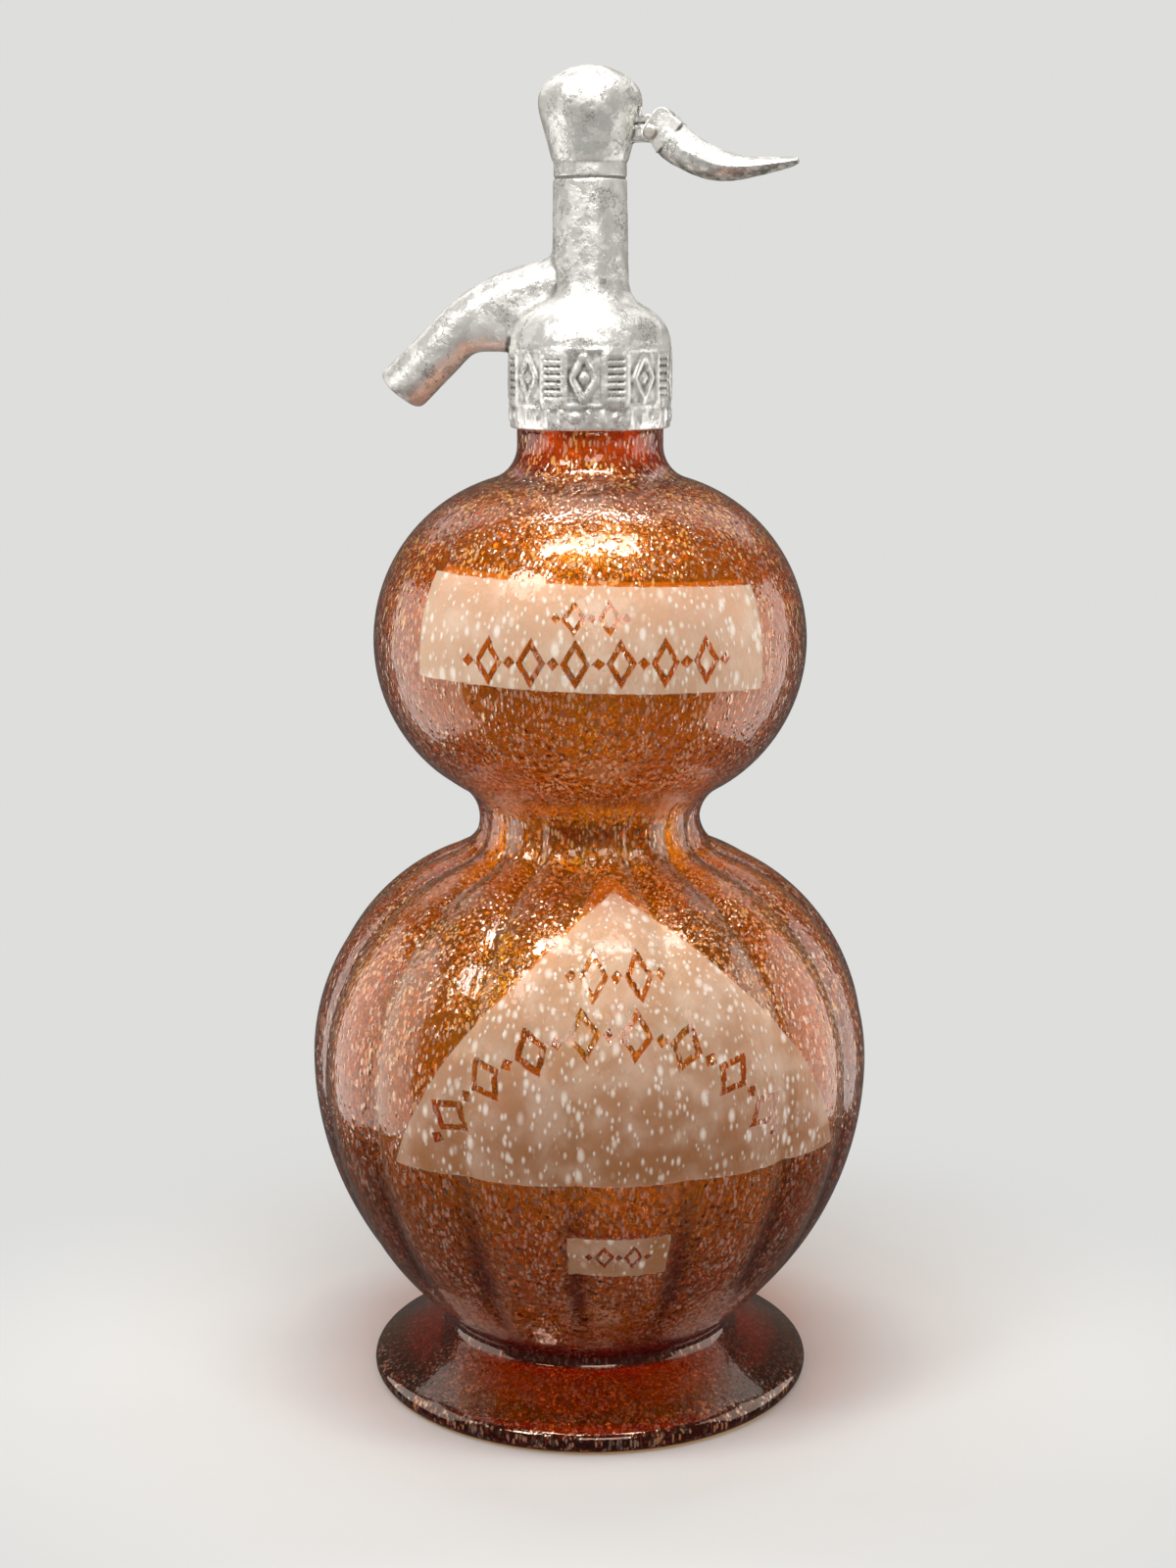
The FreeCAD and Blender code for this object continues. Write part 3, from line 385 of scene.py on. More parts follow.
@dataclass(frozen=True)
class AmberGlass:
    """Soda-lime glass coloured amber, blown with many seeds in it and sandblasted in panels.

    The colour comes from the depth of the glass, so the rims look dark. The seeds and the
    hammered skin break every highlight into sparks. The spans are heights in millimetres
    between which the glass changes.
    """

    name: str
    panels: tuple[EtchedPanel, ...]
    marks: tuple[MarkRow, ...]
    flutes: int
    flute_turn_deg: float
    tint: str = "#FBE000"
    density: float = 520.0          # absorption per metre of what the tint lacks
    glint: str = "#FFCE7C"          # the seeds near the surface, which mirror light
    grit_low: str = "#F08E22"       # light that the finest seeds send back out of the wall
    grit_high: str = "#FFC25A"
    sheen: str = "#FFB45A"          # reflections off the rough skin under the polished one
    thick: str = "#9C5A2A"          # the solid foot, which passes less, and painted shade in the furrows between the flutes
    frost_low: str = "#C08E62"
    frost_high: str = "#EEDCBC"
    frosted_seed: str = "#FFFAF2"
    foot_rim: Span = (4.0, 9.0)
    foot_flare: Span = (14.0, 24.0)
    foot_top: Span = (17.0, 27.0)
    furrows_start: Span = (20.0, 44.0)
    furrows_end: Span = (50.0, 92.0)
    lower_grit: Span = (40.0, 130.0)
    lower_gold: Span = (70.0, 140.0)
    lower_frost: Span = (75.0, 150.0)
    waist_start: Span = (108.0, 122.0)
    waist_end: Span = (152.0, 160.0)
    upper_clear: Span = (165.0, 185.0)
    upper_grit: Span = (190.0, 222.0)
    shoulder: Span = (219.0, 227.0)
    neck: Span = (234.0, 246.0)

    def etching(self, skin: Skin) -> Field:
        """1 on the sandblasted panels, whose edges wander a little."""
        wander = skin.grain(3.0, 3.0) * 0.9 - 0.45
        turn = skin.turn() + wander
        height = skin.along("Z") + wander
        etched = self.panels[0].mask(turn, height)
        for panel in self.panels[1:]:
            etched = etched.at_least(panel.mask(turn, height))
        for row in self.marks:
            etched = (etched - row.mask(turn, height)).at_least(0.0)
        return etched

    def thick_foot_and_furrow_shade(self, skin: Skin, height: Field) -> Field:
        """1 on the solid foot, and in the furrows between the flutes below the bulb's middle; in the
        furrows it is painted shade.
        """
        crest = abs(((skin.turn() - self.flute_turn_deg) * math.radians(self.flutes / 2)).of("SINE"))
        furrow = crest.step(0.08, 0.6, 0.9, 0.0) * height.step(*self.furrows_start)
        furrow = furrow * height.step(*self.furrows_end, 1.0, 0.0)
        foot = height.step(*self.foot_top, 0.75, 0.0) * height.step(*self.foot_rim, 0.35, 1.0)
        return furrow.at_least(foot)

    def grit(self, skin: Skin, height: Field) -> Field:
        """The finest seeds, which crowd together in clouds on the rim, the waist and the shoulder."""
        crowd = height.step(*self.lower_grit, 0.3, 0.9) * height.step(*self.upper_clear, 1.0, 0.6)
        crowd = crowd.at_least(height.step(*self.upper_grit, 0.45, 1.0))
        crowd = crowd.at_least(height.step(*self.foot_rim, 0.9, 0.0))
        crowd = crowd * skin.grain(13.0, 2.0).step(0.36, 0.58, 0.3, 1.0)
        fine = skin.seeds(0.9, 0.5, 0.6, 0.35).at_least(skin.seeds(1.7, 0.36, 0.5, 0.4))
        return fine.step(0.0, 0.25) * crowd

    def rough_normal(self, skin: Skin, bubbles: Field, calm: Field) -> NodeSocket:
        """Normals of the hammered skin and the seeds under the surface."""
        relief = bubbles * 0.24 + skin.grain(1.4, 3.0, 0.6, (1.0, 1.0, 0.45)) * 0.30
        return skin.normal(relief * calm.at_most(1.0))

    def gloss_normal(self, skin: Skin, height: Field, bubbles: Field, calm: Field
                     ) -> NodeSocket:
        """Normals of the fire-polished surface, which ripples most at the waist and the neck."""
        lively = height.step(*self.waist_start, 0.03, 0.16) * height.step(*self.waist_end, 1.0, 0.2)
        lively = lively.at_least(height.step(*self.shoulder, 0.03, 0.20))
        drawn_up = (1.0, 1.0, 0.6)
        ripple = skin.grain(3.5, 2.0, 0.4, drawn_up) * 0.06 + bubbles * 0.12
        ripple = ripple + skin.grain(2.3, 1.0, 0.4, drawn_up) * lively
        return skin.normal(ripple * calm + skin.grain(16.0, 2.0, 0.4) * 0.10)

    def material(self) -> Material:
        """Builds the material."""
        skin = Skin(self.name)
        height = skin.along("Z")
        etched = self.etching(skin)
        bubbles = skin.seeds(1.5, 0.44, 0.8).at_least(skin.seeds(2.8, 0.34, 0.6))
        clouded = bubbles.at_least(skin.seeds(3.6, 0.40, 0.7))
        clouded = clouded.at_least(skin.grain(9.0, 3.0, 0.5).step(0.35, 0.70, 0.0, 0.25))
        grit = self.grit(skin, height)
        calm = height.step(*self.foot_flare, 0.2, 1.0) * height.step(*self.neck, 1.0, 1.6)
        golden = height.step(*self.lower_gold).between(self.grit_low, self.grit_high)
        clear = grit.between(bubbles.between("#FFFFFF", self.glint), golden)
        # darker tone: thick glass on the foot, painted shade in the furrows between the flutes
        clear = self.thick_foot_and_furrow_shade(skin, height).between(clear, self.thick)
        # frost darker and more amber towards the bottom
        frost_by_height = height.step(*self.lower_frost).between(self.frost_low, self.frost_high)
        frosted = clouded.between(frost_by_height, self.frosted_seed)
        milk = grit * (1.0 - etched) * 0.55 + etched * clouded.step(0.0, 0.6, 0.50, 0.85)
        glass = add(skin.tree, "ShaderNodeBsdfPrincipled", {
            "Base Color": etched.between(clear, frosted),
            "Metallic": bubbles.step(0.05, 0.5) * etched.step(0.0, 1.0, 0.45, 0.05),
            "Roughness": etched.step(0.0, 1.0, 0.05, 0.42).at_least(bubbles * 0.22),
            "IOR": 1.52,
            "Specular Tint": colour(self.sheen),
            "Transmission Weight": 1.0 - milk,
            "Normal": self.rough_normal(skin, bubbles, calm),
            "Coat Weight": etched.step(0.0, 1.0, 1.0, 0.3),
            "Coat Roughness": 0.03,
            "Coat IOR": 1.55,
            "Coat Normal": self.gloss_normal(skin, height, bubbles, calm),
        })
        glass = skin.lit_through(glass, etched.step(0.0, 1.0, 0.65, 0.4), "#FFFFFF")
        depth = add(skin.tree, "ShaderNodeVolumeAbsorption", {
            "Color": colour(self.tint), "Density": self.density,
        })
        return skin.finished(glass, depth)


@dataclass(frozen=True)
class CastTin:
    """Tin alloy cast in a mould and handled for years.

    Pale and warm where hands have rubbed it, grey and dull in the hollows, with small pits and
    a brown stain where the plating has gone. The faces that look down are darkened too: partly stain,
    partly painted shade.
    """

    name: str
    bright: str = "#FAF8F2"
    dull: str = "#95938E"
    grime: str = "#55534F"
    # brown stain, also used as painted shade on the faces that look down
    stain_and_under_shade: str = "#6B4A38"
    roughness: float = 0.28                   # where hands have rubbed it
    metallic: float = 0.65                    # the rest is pale oxide, which scatters
    under_shade_and_stain: float = 0.12                 # how dark the faces are that look down: partly stain, partly painted shade
    mouth_stain_mm: Optional[float] = None    # x beyond which the spout's underside is bare copper
    grime_top_mm: float = 1000.0              # height up to which dirt has stayed in the hollows
    chip_mm: Optional[tuple[float, float, float]] = None
    chip_radius_mm: float = 0.9

    def tarnish(self, skin: Skin, hollow: Field, blotch: Field, speck: Field) -> Field:
        """Share of dull metal: hollows, flaked and peeled patches, and pits."""
        patchy = skin.grain(14.0, 2.0).step(0.42, 0.56)
        flakes = skin.grain(3.2, 5.0, 0.7).step(0.56, 0.60, 0.0, 0.45)
        peeled_edge = abs(skin.grain(8.0, 6.0, 0.66) - 0.53).step(0.004, 0.014, 1.0, 0.0)
        pits = speck.step(0.60, 0.72) * (patchy * 0.5 + 0.2)
        dull = hollow * 1.2 + blotch.step(0.52, 0.72, 0.0, 0.45)
        return dull.at_least(flakes.at_least(peeled_edge) * patchy).at_least(pits).at_most(1.0)

    def dirt(self, skin: Skin, hollow: Field) -> Field:
        """Share of dirt, which has stayed in the hollows low down and in the chip."""
        low = skin.along("Z").step(self.grime_top_mm - 2, self.grime_top_mm + 2, 0.8, 0.25)
        dirt = hollow.step(0.25, 1.0) * low
        if not self.chip_mm:
            return dirt
        off = add(skin.tree, "ShaderNodeVectorMath", {
            0: skin.place, 1: tuple(part * MM for part in self.chip_mm),
        }, operation="DISTANCE").outputs["Value"]
        ragged = Field(off) / MM + skin.grain(1.5, 2.0) * 2.0
        return dirt.at_least(ragged.step(self.chip_radius_mm + 0.7, self.chip_radius_mm + 1.3, 0.5, 0.0))

    def shade_and_stain_share(self, skin: Skin, blotch: Field) -> Field:
        """Share of the stain colour: stain and painted shade on the faces that look down, and bare copper
        under the mouth.
        """
        normal = add(skin.tree, "ShaderNodeNewGeometry").outputs["Normal"]
        facing = Field(add(skin.tree, "ShaderNodeSeparateXYZ", {"Vector": normal}).outputs["Z"])
        # painted shade mixed with stain on the faces that look down
        under = facing.step(-0.9, -0.1, self.under_shade_and_stain, 0.0) * skin.grain(2.6, 3.0).step(0.35, 0.6)
        if self.mouth_stain_mm is None:
            return under
        mouth = skin.along("X").step(self.mouth_stain_mm - 8, self.mouth_stain_mm + 4, 1.0, 0.0)
        return under.at_least(mouth * facing.step(-0.6, 0.2, 0.9, 0.0) * blotch.step(0.3, 0.55))

    def material(self) -> Material:
        """Builds the material."""
        skin = Skin(self.name)
        hollow = Field(add(skin.tree, "ShaderNodeAttribute", attribute_name="hollow").outputs["Fac"])
        blotch = skin.grain(7.0, 4.0, 0.6)
        speck = skin.grain(0.9, 3.0, 0.65)
        tarnish = self.tarnish(skin, hollow, blotch, speck)
        tone = tarnish.between(self.bright, self.dull)
        tone = self.dirt(skin, hollow).between(tone, self.grime)
        # stain, and painted shade on the faces that look down
        tone = self.shade_and_stain_share(skin, blotch).between(tone, self.stain_and_under_shade)
        worn = skin.grain(5.0, 5.0, 0.62).step(0.48, 0.54)
        relief = skin.grain(3.4, 3.0, 0.5) * 0.30 + speck.step(0.60, 0.75, 0.0, -0.06) + worn * 0.035
        metal = add(skin.tree, "ShaderNodeBsdfPrincipled", {
            "Base Color": tone, "Metallic": self.metallic,
            "Roughness": tarnish * 0.28 + worn * 0.16 + self.roughness,
            "Normal": skin.normal(relief),
        })
        return skin.finished(metal)


@dataclass(frozen=True)
class TurnedMetal:
    """Metal turned on a lathe: fine rings of tool marks that catch the light as bands."""

    name: str
    tone: str
    roughness: float
    tarnish: str = "#4A4036"

    def material(self) -> Material:
        """Builds the material."""
        skin = Skin(self.name)
        rings = skin.grain(0.6, 2.0, 0.5, (0.05, 0.05, 1.0))
        metal = add(skin.tree, "ShaderNodeBsdfPrincipled", {
            "Base Color": skin.grain(3.0, 3.0).step(0.4, 0.8, 0.0, 0.5).between(self.tone, self.tarnish),
            "Metallic": 1.0,
            "Roughness": rings.step(0.3, 0.7, self.roughness, self.roughness + 0.15),
            "Normal": skin.normal(rings, 0.05),
        })
        return skin.finished(metal)


@dataclass(frozen=True)
class DullSolid:
    """Moulded rubber or pressed fibre: dark, matt and a little dusty."""

    name: str
    tone: str
    dust: str
    roughness: float

    def material(self) -> Material:
        """Builds the material."""
        skin = Skin(self.name)
        solid = add(skin.tree, "ShaderNodeBsdfPrincipled", {
            "Base Color": skin.grain(1.2, 4.0, 0.6).step(0.45, 0.75).between(self.tone, self.dust),
            "Roughness": self.roughness,
            "Normal": skin.normal(skin.grain(0.4, 2.0), 0.05),
        })
        return skin.finished(solid)


@dataclass(frozen=True)
class ClearGlass:
    """Drawn clear glass tube: colourless, with faint draw lines along it."""

    name: str = "Clear_glass_tube_drawn"
    tone: str = "#F0F4F0"
    shade: str = "#E8ECE8"

    def material(self) -> Material:
        """Builds the material."""
        skin = Skin(self.name)
        draw_lines = skin.grain(0.8, 2.0, 0.5, (1.0, 1.0, 0.03))
        glass = add(skin.tree, "ShaderNodeBsdfPrincipled", {
            "Base Color": colour(self.tone), "Roughness": 0.04, "IOR": 1.5,
            "Transmission Weight": 1.0, "Normal": skin.normal(draw_lines, 0.06),
        })
        return skin.finished(skin.lit_through(glass, 1.0, self.shade))


# ================================================================ modelling helpers
def deselect() -> None:
    """Leaves object mode with nothing selected."""
    if bpy.context.object and bpy.context.object.mode != "OBJECT":
        bpy.ops.object.mode_set(mode="OBJECT")
    bpy.ops.object.select_all(action="DESELECT")


def pick(piece: Object) -> None:
    """Makes one object the only selected and the active one."""
    deselect()
    piece.select_set(True)
    bpy.context.view_layer.objects.active = piece


def put(name: str, data: ID) -> Object:
    """A new object in the scene that holds a mesh, a lamp or a camera."""
    thing = bpy.data.objects.new(name, data)
    bpy.context.scene.collection.objects.link(thing)
    return thing


@contextmanager
def whole_mesh() -> Iterator[None]:
    """Edit mode on the active piece, with its whole mesh selected."""
    bpy.ops.object.mode_set(mode="EDIT")
    bpy.ops.mesh.select_all(action="SELECT")
    yield
    bpy.ops.object.mode_set(mode="OBJECT")


def bake_place(piece: Object) -> None:
    """Puts a piece's place, turn and scale into its mesh."""
    pick(piece)
    bpy.ops.object.transform_apply(location=True, rotation=True, scale=True)


def finish_modifier(piece: Object, kind: str, **settings) -> None:
    """Adds a modifier with its settings and applies it."""
    pick(piece)
    modifier = piece.modifiers.new(kind.title(), kind)
    for name, value in settings.items():
        setattr(modifier, name, value)
    bpy.ops.object.modifier_apply(modifier=modifier.name)


def climb(value: float, span: Span) -> float:
    """How far a value has come from a span's start to its end, from 0 to 1."""
    return min(1.0, max(0.0, (value - span[0]) / (span[1] - span[0])))


def weigh(piece: Object, name: str, weight_of: Weight) -> None:
    """Gives each point of a piece a weight in a named vertex group.

    Args:
        piece: the piece.
        name: the group's name.
        weight_of: weight from a point's place and normal.
    """
    group = piece.vertex_groups.new(name=name)
    for vertex in piece.data.vertices:
        weight = weight_of(vertex.co, vertex.normal)
        if weight > 0:
            group.add([vertex.index], min(1.0, weight), "REPLACE")


def cast_clouds(name: str, size_mm: float, depth: int = 2) -> Texture:
    """Cloud texture for a Displace modifier, whose lumps are about a size in millimetres."""
    texture = bpy.data.textures.new(name, "CLOUDS")
    texture.noise_scale = size_mm * MM
    texture.noise_depth = depth
    return texture


def wear_surface(piece: Object, depth_mm: float, size_mm: float, name: str) -> None:
    """Moves a piece's surface in and out by clouds of a size, as sand casting and knocks do."""
    finish_modifier(piece, "DISPLACE", texture=cast_clouds(name, size_mm), texture_coords="LOCAL",
                    strength=depth_mm * MM, mid_level=0.5)


def copy_of_node(node: str, name: str) -> Object:
    """A new piece with a copy of a node's mesh, its loose triangles merged."""
    piece = put(name, NODES[node].data.copy())
    pick(piece)
    with whole_mesh():
        bpy.ops.mesh.remove_doubles(threshold=0.002 * MM)
    piece.data.materials.clear()
    return piece


def read_all(items: bpy_prop_collection, name: str, width: int, kind: type = float
             ) -> np.ndarray:
    """One property of many mesh elements, in a row for each."""
    values = np.empty(len(items) * width, kind)
    items.foreach_get(name, values)
    return values.reshape(-1, width)


def note_hollows(piece: Object, rounds: int, depth_mm: float) -> None:
    """Stores how deep each point lies below its smoothed surroundings, as dirt gathers there.

    Args:
        piece: the piece, which gets the point attribute hollow from 0 to 1.
        rounds: how far the surroundings reach, in edges.
        depth_mm: depth that counts as 1.
    """
    mesh = piece.data
    here = read_all(mesh.vertices, "co", 3)
    normals = read_all(mesh.vertices, "normal", 3)
    ends = read_all(mesh.edges, "vertices", 2, int)
    degree = np.maximum(np.bincount(ends.ravel(), minlength=len(here)), 1)[:, None]
    smooth = here.copy()
    for _ in range(rounds):
        total = np.zeros_like(smooth)
        np.add.at(total, ends[:, 0], smooth[ends[:, 1]])
        np.add.at(total, ends[:, 1], smooth[ends[:, 0]])
        smooth = total / degree
    depth = ((smooth - here) * normals).sum(1) / (depth_mm * MM)
    attribute = mesh.attributes.new("hollow", "FLOAT", "POINT")
    attribute.data.foreach_set("value", np.clip(depth, 0, 1).astype(np.float32))


def dress(piece: Object, material: Material, body: Body,
          nodes: Iterable[str] = ()) -> Object:
    """Gives a finished piece its material, the body it rides on and the nodes it stands for.

    Args:
        piece: the piece, in place.
        material: its only material.
        body: the body that carries it.
        nodes: the CAD nodes that it replaces.

    Returns:
        The piece.
    """
    piece.data.materials.clear()
    piece.data.materials.append(material)
    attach(piece, body.value)
    if nodes:
        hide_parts(*nodes)
    log.info("%s: %d faces", piece.name, len(piece.data.polygons))
    return piece


# ================================================================ bottle
def toward(centre: Point, reach: float, target: Point) -> Point:
    """Point at a distance from one point towards another."""
    share = reach / math.dist(centre, target)
    return centre[0] + (target[0] - centre[0]) * share, centre[1] + (target[1] - centre[1]) * share


def above(centre: Point, reach: float, radius: float) -> Point:
    """Centre of the next arc: at a reach from a centre, further up, at a radius from the axis."""
    return radius, centre[1] + math.sqrt(reach ** 2 - (radius - centre[0]) ** 2)


class Outline:
    """Points of an outline, drawn on from the last one: radius and height in millimetres."""

    def __init__(self, start: Point) -> None:
        """Starts at a point."""
        self.points = [start]

    def to(self, *points: Point) -> None:
        """Draws straight edges to points."""
        self.points += points

    def line(self, end: Point, step: float) -> None:
        """Draws a straight run in edges of about a length."""
        start = self.points[-1]
        count = max(1, round(math.dist(start, end) / step))
        shares = [index / count for index in range(1, count + 1)]
        self.to(*((start[0] + (end[0] - start[0]) * s, start[1] + (end[1] - start[1]) * s) for s in shares))

    def arc(self, centre: Point, end: Point, step: float) -> None:
        """Draws the shorter arc round a centre in edges of about a length."""
        start = self.points[-1]
        first = math.atan2(start[1] - centre[1], start[0] - centre[0])
        last = math.atan2(end[1] - centre[1], end[0] - centre[0])
        turn = (last - first + math.pi) % (2 * math.pi) - math.pi
        radius = math.dist(start, centre)
        count = max(3, round(abs(turn) * radius / step))
        angles = [first + turn * index / count for index in range(1, count + 1)]
        self.to(*((centre[0] + radius * math.cos(a), centre[1] + radius * math.sin(a)) for a in angles))


@dataclass
class Bottle:
    """The blown bottle: a foot, a fluted lower bulb, a waist, an upper bulb and a neck.

    Sizes are in millimetres. Arcs meet tangentially, so each centre follows from the last.
    """

    foot_radius: float = 60.3
    foot_edge: float = 3.0
    foot_flare_deg: float = 27.0
    foot_crease: float = 3.0
    ring_inner: float = 50.0
    punt_rise: float = 8.0
    lower_radius: float = 75.6
    lower_z: float = 92.0
    lower_under: float = 92.6
    lower_over: float = 59.5
    waist_radius: float = 29.9
    waist_round: float = 10.1
    upper_radius: float = 57.6
    upper_arc: float = 44.6
    neck_radius: float = 19.2
    neck_round: float = 9.0
    neck_length: float = 6.16
    groove_radius: float = 13.8
    groove_height: float = 10.0
    lip_radius: float = 16.3
    lip_height: float = 4.5
    wall: float = 4.5
    floor: float = 12.0
    floor_corner: float = 22.0
    bore_radius: float = 10.5
    bore_round: float = 14.0
    outside_step: float = 2.3       # length of an edge along the outside's outline
    inside_step: float = 3.2
    small_step: float = 0.8         # the same on the tightest curves
    steps_round: int = 224
    flutes: int = 16
    flute_depth: float = 1.8
    flute_turn_deg: float = 8.0     # where the first furrow lies, from the front towards +X
    flute_bottom: Span = (24.0, 50.0)       # heights from no flutes to full ones
    flute_top: Span = (172.0, 150.0)
    flute_power: float = 0.7        # less than 1 makes the flutes broad and the furrows narrow

    def __post_init__(self) -> None:
        """Works out the centres of the arcs."""
        self.under = (self.lower_radius - self.lower_under, self.lower_z)
        self.over = (self.lower_radius - self.lower_over, self.lower_z)
        waist_r = self.waist_radius + self.waist_round
        self.waist = above(self.over, self.lower_over + self.waist_round, waist_r)
        upper_r = self.upper_radius - self.upper_arc
        self.upper = above(self.waist, self.upper_arc + self.waist_round, upper_r)
        neck_r = self.neck_radius + self.neck_round
        self.neck = above(self.upper, self.upper_arc + self.neck_round, neck_r)
        self.neck_top = self.neck[1] + self.neck_length

    def crease(self) -> Point:
        """Centre of the crease between the foot's flare and the lower bulb."""
        flare = math.radians(self.foot_flare_deg)
        offset = self.foot_edge + self.foot_crease
        start_r = self.foot_radius - self.foot_edge + offset * math.sin(flare) - self.under[0]
        start_z = self.foot_edge + offset * math.cos(flare) - self.under[1]
        along = start_r * math.cos(flare) - start_z * math.sin(flare)
        beyond = start_r ** 2 + start_z ** 2 - (self.lower_under + self.foot_crease) ** 2
        travel = along - math.sqrt(along ** 2 - beyond)
        return (
            self.under[0] + start_r - travel * math.cos(flare),
            self.under[1] + start_z + travel * math.sin(flare),
        )

    def outside(self) -> list[Point]:
        """Outline from the middle of the punt to the lip."""
        step = self.outside_step
        flare = math.radians(self.foot_flare_deg)
        edge = (self.foot_radius - self.foot_edge, self.foot_edge)
        crease = self.crease()
        normal = (math.sin(flare), math.cos(flare))
        punt = (self.ring_inner ** 2 + self.punt_rise ** 2) / (2 * self.punt_rise)
        lip_bottom = self.neck_top + self.groove_height
        lip_top = lip_bottom + self.lip_height
        draw = Outline((0.0, self.punt_rise))
        draw.arc((0.0, self.punt_rise - punt), (self.ring_inner, 0.0), 2 * step)
        draw.line((edge[0], 0.0), step)
        draw.arc(edge, (edge[0] + self.foot_edge * normal[0], edge[1] + self.foot_edge * normal[1]),
                 self.small_step)
        draw.line((crease[0] - self.foot_crease * normal[0], crease[1] - self.foot_crease * normal[1]),
                  2 * self.small_step)
        draw.arc(crease, toward(crease, self.foot_crease, self.under), self.small_step)
        draw.arc(self.under, (self.lower_radius, self.lower_z), step)
        draw.arc(self.over, toward(self.over, self.lower_over, self.waist), step)
        draw.arc(self.waist, toward(self.upper, self.upper_arc, self.waist), 1.5)
        draw.arc(self.upper, toward(self.upper, self.upper_arc, self.neck), step)
        draw.arc(self.neck, (self.neck_radius, self.neck[1]), 1.2)
        draw.line((self.neck_radius, self.neck_top - 1.0), step)
        draw.to((self.neck_radius - 1.0, self.neck_top), (self.groove_radius, self.neck_top))
        draw.line((self.groove_radius, lip_bottom), step)
        draw.to((self.lip_radius, lip_bottom), (self.lip_radius, lip_top - 1.0),
                (self.lip_radius - 1.0, lip_top))
        return draw.points

    def inside(self) -> list[Point]:
        """Outline of the hollow from the lip down to the middle of the floor."""
        step = self.inside_step
        floor_z = self.punt_rise + self.floor
        under = self.lower_under - self.wall
        upper = self.upper_arc - self.wall
        corner_z = floor_z + self.floor_corner
        reach = under - self.floor_corner
        corner = (self.under[0] + math.sqrt(reach ** 2 - (self.lower_z - corner_z) ** 2), corner_z)
        bore = above(self.upper, upper + self.bore_round, self.bore_radius + self.bore_round)
        draw = Outline((self.bore_radius, self.neck_top + self.groove_height + self.lip_height))
        draw.line((self.bore_radius, bore[1]), step)
        draw.arc(bore, toward(self.upper, upper, bore), 1.6)
        draw.arc(self.upper, toward(self.upper, upper, self.waist), step)
        draw.arc(self.waist, toward(self.over, self.lower_over - self.wall, self.waist), 1.8)
        draw.arc(self.over, (self.lower_radius - self.wall, self.lower_z), step)
        draw.arc(self.under, toward(self.under, under, corner), step)
        draw.arc(corner, (corner[0], floor_z), step)
        draw.line((0.0, floor_z), 2 * step)
        return draw.points

    def spun(self) -> Object:
        """Draws the outline point by point from a plane merged to one point, and spins it."""
        outline = self.outside() + self.inside()
        deselect()
        here = outline[0]
        bpy.ops.mesh.primitive_plane_add(size=1 * MM, location=(here[0] * MM, 0, here[1] * MM))
        piece = bpy.context.object
        piece.name = "bottle_glass"
        bake_place(piece)
        with whole_mesh():
            bpy.ops.mesh.merge(type="CENTER")
            for point in outline[1:]:
                move = ((point[0] - here[0]) * MM, 0, (point[1] - here[1]) * MM)
                bpy.ops.mesh.extrude_vertices_move(TRANSFORM_OT_translate={"value": move})
                here = point
            bpy.ops.mesh.select_all(action="SELECT")
            bpy.ops.mesh.spin(steps=self.steps_round, angle=2 * math.pi, center=(0, 0, 0), axis=(0, 0, 1))
            bpy.ops.mesh.select_all(action="SELECT")
            bpy.ops.mesh.remove_doubles(threshold=0.01 * MM)
            bpy.ops.mesh.normals_make_consistent(inside=False)
        return piece

    def flute_weight(self, place: Vector, normal: Vector) -> float:
        """How deep a place on the outside lies in a furrow between two flutes, from 0 to 1."""
        if normal.x * place.x + normal.y * place.y < 0:
            return 0.0
        height = place.z / MM
        turn = math.atan2(place.x, -place.y) - math.radians(self.flute_turn_deg)
        crest = abs(math.sin(turn * self.flutes / 2)) ** self.flute_power
        return (1 - crest) * climb(height, self.flute_bottom) * climb(height, self.flute_top)

    def build(self, material: Material) -> Object:
        """Builds the whole bottle and dresses it."""
        piece = self.spun()
        weigh(piece, "flutes", self.flute_weight)
        finish_modifier(piece, "DISPLACE", vertex_group="flutes", strength=-self.flute_depth * MM,
                        mid_level=0.0)
        piece.vertex_groups.clear()
        bpy.ops.object.shade_smooth()
        return dress(piece, material, Body.SIPHON, ["glass_bottle"])


